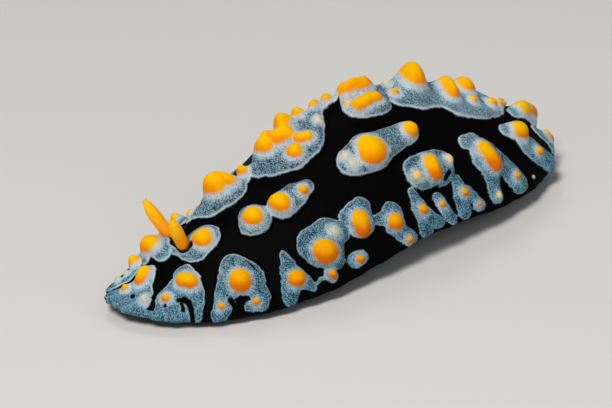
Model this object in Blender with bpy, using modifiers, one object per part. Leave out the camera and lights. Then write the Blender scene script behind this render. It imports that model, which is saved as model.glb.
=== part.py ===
"""A black sea slug with pale blue patches and yellow knobs, life size, at rest on its foot.

The head points to -X, the animal's left side to -Y and its back to +Z. The origin is on the floor
under the middle of the foot. Sizes are in millimetres and become metres where a mesh is written.
"""

import math
import random

import bmesh
import bpy
import numpy as np
from mathutils import Matrix, Vector

MM = 0.001

# The mantle, the thick cloak that covers the whole back
HALF_LENGTH = 25.0
HALF_WIDTH = 12.2
BACK_HEIGHT = 11.6
HUMP_HEIGHT = 1.3
HUMP_AT = 3.0
HUMP_LENGTH = 7.5
EDGE_HEIGHT_HEAD = 0.7
EDGE_HEIGHT_TAIL = 1.6
EDGE_DROP = 0.4
LIP_SHARE = 0.12
LIP_FALL = 0.5
TAIL_NARROWING = 0.07
OUTLINE_POWER = 2.3
OUTLINE_ROUNDNESS = 0.52
HEAD_SLOPE = 1.7
TAIL_SLOPE = 2.9
TAIL_ROUNDNESS = 0.8
DOME_POWER = 2.2
DOME_ROUNDNESS = 0.8
ROOF_POWER = 1.15
ROOF_SHARE = 0.38
CREST_LOWER = 0.047
CREST_WIDTH = 0.3
ROUND_CREST = 0.2

# The head's tip is a little longer and higher, and the mantle ends a little early in the rear half
TIP_STARTS = -19.0
TIP_RISE = 0.7
TIP_LONGER = 0.5
EDGE_TRIM = 0.052
TRIM_AT = 4.0
TRIM_LENGTH = 10.5

# The head turns a little, so its right side is narrower and steeper than its left
RIGHT_BEND = 15.0
RIGHT_NARROWER = 0.22
RIGHT_LOWER = 0.16

# Patches on the hidden right side: drawn by this seed, set lower, and flatter on the front and in
# the high row. The first two of the left side have their counterparts among the head's patches.
RIGHT_SEED = 32
RIGHT_DOWN = 0.35
RIGHT_FLAT = 0.8
RIGHT_SHIFT = 0.7
RIGHT_SIZES = (0.88, 1.08)
FLATTER = 0.6
FRONT_ENDS = -5.0
HIGH_ROW = 0.6
OWN_RIGHT = 2

# The foot under it, and the gap that parted pieces keep
GAP = 0.3
FOOT_FRONT = -19.0
FOOT_BACK = 22.4
FOOT_HALF_WIDTH = 6.6
FOOT_TOP = 2.9
FLANGE_HEIGHT = 0.35

# Feelers, mouth, gills and vent
RHINOPHORES = {
    "rhinophore_left": (-17.75, 0.17, 0.34, 0.12, 3.6),
    "rhinophore_right": (-17.2, -0.25, 0.34, 0.39, 4.5),
}
CLUB_RADIUS = 0.64
CLUB_TIP = 0.62
STALK_RADIUS = 0.5
PIT_DEPTH = 0.75
PIT_FLARE = 0.36
CUTTER_TOP = 2.0
ROUND_STEPS = 14
LAMELLAE = 9
MOUTH_AT = -20.15
MOUTH_SIZE = (0.85, 1.0)
MOUTH_FLOOR = 0.35
SLIT_SIZE = (0.7, 0.2, 0.5)
TENTACLE_LENGTH = 1.5
TENTACLE_RADIUS = 0.4
TENTACLE_LEAN = (-0.55, 0.8)
GILLS_PER_SIDE = 22
GILL_FIRST = -15.0
GILL_LAST = 17.5
GILL_THICKNESS = 0.55
GILL_REACH = 0.3
GILL_ROOT = 0.9
GILL_LOW = 0.75
GILL_CURVE = 0.45
VENT_AT = (19.0, 0.2)
VENT_RADIUS = 0.55
VENT_HEIGHT = 0.8

# Where the mantle is parted into head, two lengths of back, and tail
PARTINGS = (-14.6, -1.0, 11.7)
LENGTH_NAMES = ("head", "back_front", "back_rear", "tail")

# How fine the mantle is before and after its flat places are thinned
MANTLE_CUTS = 66
MANTLE_TRIANGLES = 11600
EDGE_DOWN = 0.6
PILLOW_WIDTH = 0.9
KNOB_SKIRT = 1.7
KNOB_POWER = 2.4
KNOB_ROUNDNESS = 1.3
FADE_WIDTH = 0.06
FOOT_CUTS = 11


def knob(x, across, radius, height, to=None):
    """A wart: where it stands, the radius of its cap, its height, and where it ends if it is long."""
    end = to or (x, across)
    return (x, across, end[0], end[1], radius, height)


# Pale patches: how far each swells, the strokes that make its outline and the knobs on it. A place is
# (millimetres along the body, share of the way from the ridge to the edge, plus on the left side),
# and a stroke's point also has the stroke's radius there.
RIDGE_PATCHES = [
    (0.6, [[(-15.5, -0.08, 0.6), (-13.9, 0.03, 1.35), (-12.1, 0.06, 1.75), (-11.6, 0.08, 1.5)]],
     [knob(-12.3, 0.0, 1.25, 1.85), knob(-11.3, 0.05, 0.75, 1.2),
      knob(-14.1, -0.14, 0.4, 0.5), knob(-15.1, -0.1, 0.35, 0.45)]),
    (0.4, [[(-9.8, 0.05, 0.7), (-10.5, 0.1, 0.35)]], [knob(-9.7, 0.03, 0.6, 0.9)]),
    (0.8, [[(-8.4, 0.1, 1.15), (-7.2, 0.11, 1.9), (-5.4, 0.15, 2.3), (-3.8, 0.15, 2.0),
            (-2.2, 0.08, 1.2)],
           [(-4.8, 0.0, 1.4), (-2.6, 0.0, 1.3), (-1.5, 0.03, 0.95), (-0.6, -0.03, 0.55),
            (2.6, -0.04, 0.4)]],
     [knob(-6.8, 0.03, 0.95, 1.2), knob(-6.2, 0.0, 0.65, 1.3),
      knob(-5.7, 0.05, 0.75, 1.2, to=(-4.7, 0.06)),
      knob(-4.1, -0.03, 0.9, 1.7), knob(-4.1, 0.16, 0.6, 0.75, to=(-3.6, 0.18)),
      knob(-5.3, 0.22, 0.75, 0.85), knob(-2.4, -0.05, 0.62, 1.0), knob(-0.8, -0.05, 0.58, 0.9),
      knob(0.6, -0.05, 0.52, 0.8), knob(-1.5, 0.1, 0.38, 0.4)]),
    (0.8, [[(2.8, 0.12, 1.75), (4.1, 0.13, 1.95), (5.2, 0.09, 1.35)]],
     [knob(2.5, 0.0, 0.75, 1.4, to=(2.9, 0.0)), knob(3.5, 0.0, 0.9, 1.4, to=(4.3, 0.0)),
      knob(2.4, 0.165, 0.7, 0.8, to=(3.0, 0.16)), knob(3.8, 0.145, 0.62, 0.8, to=(4.3, 0.15)),
      knob(1.7, 0.1, 0.32, 0.4)]),
    (0.7, [[(6.3, 0.09, 1.0), (7.4, 0.13, 1.4), (9.0, 0.16, 1.75), (10.6, 0.2, 1.2)],
           [(6.3, 0.0, 0.8), (9.0, 0.0, 1.5), (11.2, 0.03, 1.1)]],
     [knob(9.25, 0.05, 1.25, 2.4), knob(6.8, 0.12, 0.38, 0.5), knob(7.0, 0.0, 0.35, 0.5)]),
    (0.7, [[(11.5, 0.2, 1.2), (13.2, 0.26, 1.95), (15.2, 0.27, 2.05), (17.0, 0.3, 1.3),
            (18.0, 0.31, 0.8)],
           [(11.8, 0.04, 1.2), (15.0, 0.08, 1.5), (17.0, 0.2, 1.1)]],
     [knob(12.9, 0.1, 0.8, 1.2, to=(12.5, 0.21)), knob(14.9, 0.1, 0.95, 1.25),
      knob(14.8, 0.27, 0.42, 0.5), knob(16.9, 0.29, 0.5, 0.6), knob(17.9, 0.28, 0.42, 0.55)]),
    (0.6, [[(19.8, 0.31, 0.6), (21.3, 0.23, 1.1), (23.0, 0.16, 0.95)]],
     [knob(20.9, 0.24, 0.85, 1.1, to=(22.4, 0.14))]),
]
HEAD_PATCHES = [
    (0.35, [[(-21.0, 0.06, 0.65), (-21.7, 0.12, 1.0), (-22.6, 0.3, 1.05), (-23.2, 0.52, 1.05)],
            [(-23.3, 0.1, 1.1), (-24.0, 0.4, 1.0), (-23.9, 0.8, 0.75)],
            [(-24.7, -0.3, 0.6), (-24.7, 0.4, 0.8), (-24.4, 0.75, 0.6)],
            [(-22.6, 0.13, 0.75), (-23.4, 0.02, 0.85), (-24.2, -0.5, 0.65)]],
     [knob(-21.4, 0.07, 0.62, 0.75, to=(-22.1, 0.15)), knob(-23.3, 0.03, 0.38, 0.4),
      knob(-22.9, 0.55, 0.38, 0.65)]),
    (0.5, [[(-18.8, -0.25, 1.15), (-19.0, -0.1, 1.3), (-19.3, 0.0, 1.1)],
           [(-19.2, -0.2, 1.2), (-19.8, -0.2, 1.1)]],
     [knob(-19.15, -0.17, 1.12, 1.65)]),
    (0.35, [[(-20.4, -0.47, 0.85), (-21.2, -0.36, 0.8), (-22.1, -0.35, 0.8), (-23.1, -0.6, 0.55),
             (-23.7, -0.85, 0.45)]],
     [knob(-20.7, -0.43, 0.7, 1.05), knob(-21.9, -0.46, 0.36, 0.5),
      knob(-22.7, -0.58, 0.36, 0.5)]),
    (0.5, [[(-16.1, 0.28, 1.6), (-16.8, 0.29, 1.6)],
           [(-17.3, 0.4, 0.55), (-17.9, 0.36, 0.42), (-18.4, 0.28, 0.3), (-18.6, 0.15, 0.22),
            (-18.5, 0.05, 0.16)]],
     [knob(-16.2, 0.31, 0.95, 0.95)]),
    (0.5, [[(-15.3, -0.3, 0.75), (-14.9, -0.45, 0.75)]], [knob(-15.3, -0.42, 0.62, 1.0)]),
]
LEFT_PATCHES = [
    (0.4, [[(-19.3, 0.46, 1.1), (-19.6, 0.56, 1.45), (-19.6, 0.67, 1.3), (-19.9, 0.79, 1.0),
            (-20.4, 0.94, 0.7)],
           [(-20.4, 0.57, 1.2), (-21.7, 0.68, 1.15), (-22.1, 0.82, 1.35), (-22.3, 0.95, 0.9)],
           [(-23.8, 0.88, 0.5), (-22.9, 0.96, 0.5), (-21.6, 0.96, 0.6), (-21.0, 0.99, 0.4)]],
     [knob(-19.6, 0.545, 0.74, 0.95, to=(-19.2, 0.6)), knob(-21.6, 0.66, 0.42, 0.5)]),
    (0.85, [[(-11.8, 0.435, 1.65)]], [knob(-11.85, 0.445, 0.9, 1.0)]),
    (0.85, [[(-9.1, 0.475, 1.4), (-7.5, 0.46, 1.3), (-6.4, 0.46, 0.9)]],
     [knob(-9.25, 0.47, 0.98, 1.0), knob(-6.8, 0.48, 0.45, 0.6)]),
    (0.9, [[(-1.3, 0.485, 1.5), (0.6, 0.485, 2.05), (2.7, 0.475, 1.5), (4.2, 0.465, 1.25),
            (5.4, 0.46, 1.15)]],
     [knob(0.6, 0.495, 1.35, 1.1), knob(5.4, 0.465, 0.8, 0.85), knob(-1.8, 0.45, 0.35, 0.4),
      knob(-1.5, 0.51, 0.4, 0.45)]),
    (0.5, [[(-15.6, 0.66, 1.4), (-15.2, 0.76, 1.8)],
           [(-16.3, 0.74, 1.45), (-17.6, 0.85, 1.0), (-18.5, 0.95, 0.85)],
           [(-14.7, 0.81, 1.2), (-14.7, 0.9, 1.0)], [(-15.9, 0.95, 0.6), (-14.9, 0.95, 0.7)]],
     [knob(-15.7, 0.785, 1.03, 1.05), knob(-18.1, 0.905, 0.3, 0.4),
      knob(-15.3, 0.935, 0.33, 0.35)]),
    (0.35, [[(-11.2, 0.735, 0.4), (-11.3, 0.82, 0.85), (-11.7, 0.91, 1.05), (-12.3, 0.97, 0.75)],
            [(-11.2, 0.86, 0.95), (-10.7, 0.91, 0.85), (-9.9, 0.955, 0.45)],
            [(-9.4, 0.945, 0.22), (-8.9, 0.93, 0.2)]],
     [knob(-11.15, 0.893, 0.78, 0.75)]),
    (0.8, [[(-8.2, 0.75, 1.35), (-6.6, 0.745, 1.4), (-5.7, 0.77, 1.1)],
           [(-8.6, 0.76, 1.35), (-8.2, 0.82, 1.45)],
           [(-6.9, 0.79, 1.5), (-7.3, 0.87, 1.25)], [(-7.9, 0.93, 0.75)]],
     [knob(-7.8, 0.83, 1.12, 1.15), knob(-6.2, 0.765, 0.5, 0.55),
      knob(-7.9, 0.93, 0.4, 0.4)]),
    (0.5, [[(-3.9, 0.74, 1.1), (-3.3, 0.73, 1.2), (-3.3, 0.79, 1.3)],
           [(-2.6, 0.72, 1.0), (-2.8, 0.78, 1.05)]],
     [knob(-3.3, 0.765, 0.76, 0.7, to=(-3.4, 0.815))]),
    (0.35, [[(-5.0, 0.915, 0.85), (-4.4, 0.915, 0.7)]], [knob(-4.7, 0.92, 0.42, 0.45)]),
    (0.45, [[(-1.6, 0.8, 0.45), (-0.4, 0.82, 1.0)], [(0.2, 0.805, 1.0), (0.0, 0.865, 1.15)],
            [(0.5, 0.9, 0.9), (1.2, 0.935, 0.75)]],
     [knob(-0.1, 0.85, 0.78, 0.75), knob(0.75, 0.93, 0.35, 0.35)]),
    (0.9, [[(4.7, 0.69, 1.75), (6.7, 0.7, 1.9)]],
     [knob(5.6, 0.675, 0.78, 0.95, to=(5.6, 0.72)), knob(3.8, 0.705, 0.42, 0.45),
      knob(8.0, 0.68, 0.45, 0.45)]),
    (0.35, [[(3.0, 0.76, 0.4), (3.2, 0.83, 0.75), (3.1, 0.93, 0.75)],
            [(3.4, 0.86, 0.75), (4.6, 0.92, 0.65)]],
     [knob(3.3, 0.85, 0.47, 0.5)]),
    (0.3, [[(5.5, 0.83, 0.55), (5.7, 0.87, 0.65), (6.2, 0.93, 0.6)]], [knob(5.6, 0.86, 0.32, 0.3)]),
    (0.4, [[(8.3, 0.79, 0.7), (8.2, 0.86, 1.05), (7.9, 0.925, 0.8)],
           [(8.9, 0.86, 0.95), (9.8, 0.92, 0.75)]],
     [knob(8.4, 0.85, 0.42, 0.5), knob(9.7, 0.92, 0.25, 0.25)]),
    (0.6, [[(11.2, 0.6, 0.8), (12.3, 0.62, 1.15), (12.7, 0.7, 1.8), (12.7, 0.79, 1.35),
            (12.4, 0.86, 0.95), (12.1, 0.925, 0.8)],
           [(13.4, 0.7, 1.3), (14.7, 0.81, 1.2), (15.6, 0.91, 1.3)]],
     [knob(12.4, 0.685, 0.83, 1.1, to=(12.8, 0.775)), knob(15.3, 0.88, 0.4, 0.45),
      knob(12.2, 0.92, 0.3, 0.25)]),
    (0.6, [[(16.9, 0.56, 0.7), (18.2, 0.6, 1.15), (19.0, 0.7, 1.3), (20.2, 0.82, 1.4),
            (21.4, 0.92, 1.3)]],
     [knob(18.2, 0.6, 1.0, 1.0), knob(19.8, 0.8, 0.45, 0.5)]),
    (0.4, [[(22.2, 0.5, 0.6), (23.3, 0.56, 0.85), (24.0, 0.68, 0.8), (23.7, 0.86, 0.7)]],
     [knob(23.6, 0.52, 0.5, 0.55, to=(24.0, 0.62))]),
    (0.1, [[(18.3, 0.94, 0.28)]], [knob(18.3, 0.94, 0.18, 0.2)]),
]


def ease(t):
    """A smooth step from 0 to 1 as t goes from 0 to 1."""
    t = np.clip(t, 0.0, 1.0)
    return t * t * (3.0 - 2.0 * t)


def half_width(x):
    """Half the mantle's width at a station along the body."""
    c = np.clip(x / HALF_LENGTH, -1.0, 1.0)
    rounded = (1.0 - np.abs(c) ** OUTLINE_POWER) ** OUTLINE_ROUNDNESS
    return HALF_WIDTH * (1.0 - TAIL_NARROWING * c) * rounded


def ridge(x):
    """Height of the ridge over the mantle's edge, as a share of BACK_HEIGHT: a long slope to the head,
    a short steep one to the tail."""
    c = np.clip(x / HALF_LENGTH, -1.0, 1.0)
    to_head = 1.0 - np.clip(-c, 0.0, 1.0) ** HEAD_SLOPE
    to_tail = (1.0 - np.clip(c, 0.0, 1.0) ** TAIL_SLOPE) ** TAIL_ROUNDNESS
    hump = HUMP_HEIGHT / BACK_HEIGHT * np.exp(-(((x - HUMP_AT) / HUMP_LENGTH) ** 2))
    return np.where(c < 0.0, to_head, to_tail) + hump * (1.0 - np.abs(c) ** 4)


def flank(across):
    """Height across the body, 1 on the ridge and 0 at the edge: a dome with a slight roof to it."""
    a = np.clip(np.abs(across), 0.0, 1.0)
    dome = (1.0 - a**DOME_POWER) ** DOME_ROUNDNESS
    roof = 1.0 - a**ROOF_POWER
    return (1.0 - ROOF_SHARE) * dome + ROOF_SHARE * roof


def tip_share(x):
    """How far into the head's tip a station lies, from 0 to 1."""
    return np.clip((TIP_STARTS - x) / (HALF_LENGTH + TIP_STARTS), 0.0, 1.0) ** 2


def edge_height(x):
    rise = ease((x / HALF_LENGTH + 1.0) / 2.0)
    return EDGE_HEIGHT_HEAD + (EDGE_HEIGHT_TAIL - EDGE_HEIGHT_HEAD) * rise + TIP_RISE * tip_share(x)


def edge_share(x):
    """Where the mantle ends, as a share of the way across."""
    return 1.0 - EDGE_TRIM * np.exp(-(((x - TRIM_AT) / TRIM_LENGTH) ** 2))


def right_bend(x, across):
    """How much the head's right side is drawn in: 0 on the left and behind the middle, up to 1."""
    return ease(-x / RIGHT_BEND) * (across < 0.0)


def side_width(x, across):
    """Half the mantle's width on the side that across lies on."""
    return half_width(x) * (1.0 - RIGHT_NARROWER * right_bend(x, across))


def back(x, across):
    """Points of the smooth back, without its patches and knobs, at stations x and shares across."""
    x = np.asarray(x, float)
    across = np.asarray(across, float)
    drop = RIGHT_LOWER * right_bend(x, across) * np.sin(math.pi * np.abs(across))
    drop = drop + CREST_LOWER * np.exp(-((across / CREST_WIDTH) ** 2))
    z = edge_height(x) + BACK_HEIGHT * ridge(x) * (flank(across) - drop)
    y = -across * side_width(x, across)
    return np.stack(np.broadcast_arrays(x - TIP_LONGER * tip_share(x), y, z), -1)


def foot_reach(x, y):
    """How far out a point is on the foot's outline: 1 on it, less inside."""
    middle = (FOOT_FRONT + FOOT_BACK) / 2.0
    half = (FOOT_BACK - FOOT_FRONT) / 2.0
    return np.sqrt(((x - middle) / half) ** 2 + (y / FOOT_HALF_WIDTH) ** 2)


def ceiling(x, y):
    """Height of the mantle's underside over the foot."""
    across = np.clip(-y / np.maximum(side_width(x, -y), 1e-6), -1.0, 1.0)
    return np.minimum(FOOT_TOP, 0.5 * back(x, across)[..., 2])


def underside(x, y, out, start):
    """Height of the mantle's underside, where out is 1 at the mantle's edge, with height start there."""
    reach = foot_reach(x, y)
    at_foot = out / np.maximum(reach, 1e-6)
    t = np.clip((1.0 - out) / np.maximum(1.0 - at_foot, 1e-6), 0.0, 1.0)
    t = np.where(reach <= 1.0, 1.0, t)
    lip = ease(t / LIP_SHARE) * (1.0 - ease((t - LIP_SHARE) / LIP_FALL))
    return start - EDGE_DROP * lip + (ceiling(x, y) - start) * ease((t - 0.1) / 0.85)


def squares_ball(cuts):
    """A cube cut into even squares and blown up to a ball of radius 1."""
    ball = bmesh.new()
    bmesh.ops.create_cube(ball, size=2.0)
    bmesh.ops.subdivide_edges(ball, edges=ball.edges[:], cuts=cuts, use_grid_fill=True)
    for vert in ball.verts:
        vert.co = Vector([math.tan(c * math.pi / 4.0) for c in vert.co]).normalized()
    return ball


def points_of(mesh):
    return np.array([vert.co[:] for vert in mesh.verts])


def move_points(mesh, points):
    for vert, point in zip(mesh.verts, points):
        vert.co = point


def unit_rows(vectors):
    return vectors / np.maximum(np.linalg.norm(vectors, axis=-1, keepdims=True), 1e-9)


def back_normals(x, across):
    """Which way the smooth back faces, with the crest taken as round."""
    small = 1e-3
    inside = np.clip(across, -0.999, 0.999)
    reach = small + ROUND_CREST * np.exp(-((across / ROUND_CREST) ** 2))
    along = back(x + small, inside) - back(x - small, inside)
    aside = back(x, inside + reach) - back(x, inside - reach)
    normals = unit_rows(np.cross(aside, along))
    return normals * np.where(normals[:, 2:] < 0.0, -1.0, 1.0)


def to_segments(points, starts, ends):
    """Distance from every point to every segment, and how far along each segment it is met."""
    run = ends - starts
    length2 = np.maximum((run**2).sum(-1), 1e-12)
    offset = points[:, None, :] - starts[None]
    t = np.clip((offset * run[None]).sum(-1) / length2[None], 0.0, 1.0)
    return np.linalg.norm(offset - t[..., None] * run[None], axis=-1), t


def over(across):
    """A left place's share across, on the right side and nearer to the edge."""
    return -(across + RIGHT_DOWN * (1.0 - across))


def on_right(patches):
    """The left side's patches on the hidden right side, each shifted and sized a little otherwise."""
    draw = random.Random(RIGHT_SEED)
    mirrored = []
    for swell, strokes, knobs in patches:
        shift = draw.uniform(-RIGHT_SHIFT, RIGHT_SHIFT)
        size = draw.uniform(*RIGHT_SIZES)
        x, a, _ = strokes[0][0]
        flat = RIGHT_FLAT * (FLATTER if x < FRONT_ENDS else 1.0) * (FLATTER if a < HIGH_ROW else 1.0)
        mirrored.append(
            (swell * flat,
             [[(x + shift, over(a), r * size) for x, a, r in stroke] for stroke in strokes],
             [(x + shift, over(a), end + shift, over(b), r * size, h * flat)
              for x, a, end, b, r, h in knobs])
        )
    return mirrored


def patch_depth(points, strokes):
    """How deep inside a patch each point lies, in millimetres, less than 0 outside it."""
    depth = np.full(len(points), -1e3)
    for stroke in strokes:
        chain = stroke if len(stroke) > 1 else stroke * 2
        places = back([p[0] for p in chain], [p[1] for p in chain])
        radii = np.array([p[2] for p in chain])
        away, t = to_segments(points, places[:-1], places[1:])
        inside = radii[:-1] + (radii[1:] - radii[:-1]) * t - away
        depth = np.maximum(depth, inside.max(1))
    return depth


def relief(points):
    """Height that patches and knobs add to the smooth back."""
    swelling = np.zeros(len(points))
    knobs = []
    for swell, strokes, own_knobs in ALL_PATCHES:
        swelling = np.maximum(swelling, swell * ease(patch_depth(points, strokes) / PILLOW_WIDTH + 0.1))
        knobs += own_knobs
    x, across, x2, across2, radius, height = np.array(knobs).T
    away, _ = to_segments(points, back(x, across), back(x2, across2))
    out = np.clip(away / (KNOB_SKIRT * radius[None]), 0.0, 1.0)
    bumps = height[None] * (1.0 - out**KNOB_POWER) ** KNOB_ROUNDNESS
    return swelling + (bumps**3).sum(1) ** (1.0 / 3.0)


ALL_PATCHES = RIDGE_PATCHES + HEAD_PATCHES + LEFT_PATCHES + on_right(LEFT_PATCHES[OWN_RIGHT:])


def mantle_surface(cuts):
    """The whole mantle as one closed skin: its back with all patches and knobs, and its underside."""
    skin = squares_ball(cuts)
    ball = points_of(skin)
    down = np.arccos(np.clip(ball[:, 2], -1.0, 1.0)) / math.pi
    turn = np.arctan2(ball[:, 1], ball[:, 0])
    on_top = down < EDGE_DOWN
    out_on_top = np.sin(np.clip(down / EDGE_DOWN, 0.0, 1.0) * math.pi / 2.0)
    under = np.clip((down - EDGE_DOWN) / (1.0 - EDGE_DOWN), 0.0, 1.0)
    out = np.where(on_top, out_on_top, 1.0 - under**1.4)
    rim_x = HALF_LENGTH * np.cos(turn)
    rim_across = -edge_share(rim_x) * np.sign(np.sin(turn))
    station = out * rim_x
    across = out * rim_across * half_width(rim_x) / np.maximum(half_width(station), 1e-6)
    across = np.clip(across, -1.0, 1.0)
    top = back(station, across)
    faded = ease((EDGE_DOWN - down) / FADE_WIDTH)
    raised = top + back_normals(station, across) * (relief(top) * faded)[:, None]
    rim = back(rim_x, rim_across)
    x, y = out * rim[:, 0], out * rim[:, 1]
    bottom = np.stack([x, y, underside(x, y, out, rim[:, 2])], -1)
    move_points(skin, np.where(on_top[:, None], raised, bottom))
    return skin


def add_object(name, mesh_data, material, home):
    obj = bpy.data.objects.new(name, mesh_data)
    mesh_data.materials.clear()
    mesh_data.materials.append(material)
    home.objects.link(obj)
    return obj


def finished(mesh, name):
    """The bmesh as mesh data in metres, facing out."""
    bmesh.ops.recalc_face_normals(mesh, faces=mesh.faces[:])
    bmesh.ops.scale(mesh, vec=(MM, MM, MM), verts=mesh.verts[:])
    data = bpy.data.meshes.new(name)
    mesh.to_mesh(data)
    mesh.free()
    data.shade_smooth()
    return data


def thinned(data, triangles):
    """The same surface with fewer triangles, which stay where it curves most."""
    helper = bpy.data.objects.new("thinning", data)
    bpy.context.scene.collection.objects.link(helper)
    thin = helper.modifiers.new("thin", "DECIMATE")
    data.calc_loop_triangles()
    thin.ratio = triangles / len(data.loop_triangles)
    bpy.context.view_layer.update()
    graph = bpy.context.evaluated_depsgraph_get()
    result = bpy.data.meshes.new_from_object(helper.evaluated_get(graph))
    bpy.data.objects.remove(helper)
    return result


def length_of(data, start, end):
    """The stretch of a closed mesh from one station to another, closed at both cuts."""
    piece = bmesh.new()
    piece.from_mesh(data)
    for station, outward in ((start, -1.0), (end, 1.0)):
        if station is None:
            continue
        cut = bmesh.ops.bisect_plane(
            piece,
            geom=piece.verts[:] + piece.edges[:] + piece.faces[:],
            plane_co=(station * MM, 0.0, 0.0),
            plane_no=(outward, 0.0, 0.0),
            clear_outer=True,
        )
        rim = [item for item in cut["geom_cut"] if isinstance(item, bmesh.types.BMEdge)]
        bmesh.ops.edgeloop_fill(piece, edges=rim)
    bmesh.ops.triangulate(piece, faces=piece.faces[:])
    bmesh.ops.recalc_face_normals(piece, faces=piece.faces[:])
    result = bpy.data.meshes.new(data.name)
    piece.to_mesh(result)
    piece.free()
    return result


def add_mantle(material, home):
    whole = thinned(finished(mantle_surface(MANTLE_CUTS), "mantle"), MANTLE_TRIANGLES)
    starts = [None] + [x + GAP / 2.0 for x in PARTINGS]
    ends = [x - GAP / 2.0 for x in PARTINGS] + [None]
    return {
        name: add_object(name, length_of(whole, start, end), material, home)
        for name, start, end in zip(LENGTH_NAMES, starts, ends)
    }


def foot_body():
    """The foot: a long pad with a flat sole, a flange round it, and a top that follows the mantle."""
    pad = squares_ball(FOOT_CUTS)
    ball = points_of(pad)
    down = np.arccos(np.clip(ball[:, 2], -1.0, 1.0)) / math.pi
    turn = np.arctan2(ball[:, 1], ball[:, 0])
    middle = (FOOT_FRONT + FOOT_BACK) / 2.0
    half = (FOOT_BACK - FOOT_FRONT) / 2.0
    out = np.interp(down, [0.0, 0.4, 0.5, 0.58, 0.64, 1.0], [0.0, 0.9, 0.93, 1.0, 0.97, 0.0])
    x = middle + half * out * np.cos(turn)
    y = FOOT_HALF_WIDTH * out * np.sin(turn)
    top = ceiling(x, y) - GAP
    share = np.interp(down, [0.0, 0.4, 0.5, 0.58], [1.0, 1.0, 0.45, 0.0])
    z = np.where(down > 0.6, 0.0, FLANGE_HEIGHT + (top - FLANGE_HEIGHT) * share)
    move_points(pad, np.stack([x, y, z], -1))
    return pad


def add_box(mesh, centre, size, turn=0.0):
    place = Matrix.Translation(centre) @ Matrix.Rotation(turn, 4, "Z") @ Matrix.Diagonal((*size, 1.0))
    return bmesh.ops.create_cube(mesh, size=1.0, matrix=place)["verts"]


def gill_leaf(x, side):
    """One gill leaflet: a thin upright plate from the foot's wall out, narrower under the mantle."""
    leaf = bmesh.new()
    middle = (FOOT_FRONT + FOOT_BACK) / 2.0
    half = (FOOT_BACK - FOOT_FRONT) / 2.0
    wall = FOOT_HALF_WIDTH * math.sqrt(1.0 - ((x - middle) / half) ** 2)
    reach = GILL_REACH * (float(side_width(x, -side)) - wall)
    inner, outer = wall - GILL_ROOT, wall + reach
    low, high = GILL_LOW, float(ceiling(x, side * wall)) - 2.0 * GAP
    verts = add_box(leaf, (x, side * (inner + outer) / 2.0, (low + high) / 2.0),
                    (GILL_THICKNESS, outer - inner, high - low))
    for vert in verts:
        if abs(vert.co.y) > wall:
            vert.co.z = low + FLANGE_HEIGHT + (vert.co.z - low) * GILL_CURVE
    return finished(leaf, "gill")


def largest_part(data):
    """Keeps only the connected part with the most faces, so that no loose bit stays in a node."""
    mesh = bmesh.new()
    mesh.from_mesh(data)
    left = set(mesh.faces)
    largest = []
    while left:
        front = [left.pop()]
        part = []
        while front:
            face = front.pop()
            part.append(face)
            beside = {other for edge in face.edges for other in edge.link_faces} & left
            left -= beside
            front += beside
        largest = max(largest, part, key=len)
    loose = set(mesh.faces) - set(largest)
    bmesh.ops.delete(mesh, geom=list(loose), context="FACES")
    mesh.to_mesh(data)
    mesh.free()


def join(body, pieces):
    """Fuses every piece to the body, as one closed surface."""
    tools = bpy.data.collections.new("fused")
    bpy.context.scene.collection.children.link(tools)
    for number, data in enumerate(pieces):
        tools.objects.link(bpy.data.objects.new(f"piece_{number}", data))
    fuse = body.modifiers.new("fuse", "BOOLEAN")
    fuse.operation = "UNION"
    fuse.operand_type = "COLLECTION"
    fuse.collection = tools
    fuse.solver = "MANIFOLD"
    bpy.context.view_layer.update()
    graph = bpy.context.evaluated_depsgraph_get()
    fused = bpy.data.meshes.new_from_object(body.evaluated_get(graph))
    largest_part(fused)
    body.modifiers.clear()
    body.data = fused
    for obj in list(tools.objects):
        bpy.data.objects.remove(obj)
    bpy.data.collections.remove(tools)


def add_foot(material, home):
    foot = add_object("foot", finished(foot_body(), "foot"), material, home)
    stations = np.linspace(GILL_FIRST, GILL_LAST, GILLS_PER_SIDE)
    join(foot, [gill_leaf(float(x), side) for side in (-1.0, 1.0) for x in stations])


def rhinophore_frame(station, across, forward, outward):
    """Where a rhinophore leaves the head, and its axis, which leans forward and away from the ridge."""
    root = Vector(back([station], [across])[0])
    axis = Vector((-forward, -math.copysign(outward, across), 0.0))
    axis.z = math.sqrt(1.0 - axis.length_squared)
    return root, axis


def turned(name, profile, steps, material, home, root, axis):
    """A turned solid: profile is (radius, height) from the top of its axis down to its foot."""
    data = bpy.data.meshes.new(name)
    mesh = bmesh.new()
    verts = [mesh.verts.new((radius * MM, 0.0, height * MM)) for radius, height in profile]
    for first, second in zip(verts, verts[1:]):
        mesh.edges.new((first, second))
    mesh.to_mesh(data)
    mesh.free()
    obj = add_object(name, data, material, home)
    screw = obj.modifiers.new("turn", "SCREW")
    screw.steps = steps
    screw.render_steps = steps
    screw.use_merge_vertices = True
    screw.merge_threshold = 0.00001
    obj.location = Vector(root) * MM
    obj.rotation_mode = "QUATERNION"
    obj.rotation_quaternion = Vector((0.0, 0.0, 1.0)).rotation_difference(Vector(axis))
    return obj


def rhinophore_profile(tip):
    """The club from its tip, at this height, to its stalk: thin plates round it, seen as ridges."""
    club_foot = tip * 0.3
    profile = [(0.0, tip), (0.2, tip - 0.08)]
    pitch = (tip - 0.25 - club_foot) / LAMELLAE
    for plate in range(LAMELLAE):
        share = (plate + 0.5) / LAMELLAE
        radius = CLUB_RADIUS * (CLUB_TIP + (1.0 - CLUB_TIP) * math.sin(math.pi * min(0.5, 0.75 * share)))
        height = tip - 0.25 - plate * pitch
        profile.append((radius - 0.07, height))
        profile.append((radius, height - pitch / 2.0))
    profile += [(STALK_RADIUS, club_foot - 0.1), (STALK_RADIUS, GAP - PIT_DEPTH), (0.0, GAP - PIT_DEPTH)]
    return profile


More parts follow.
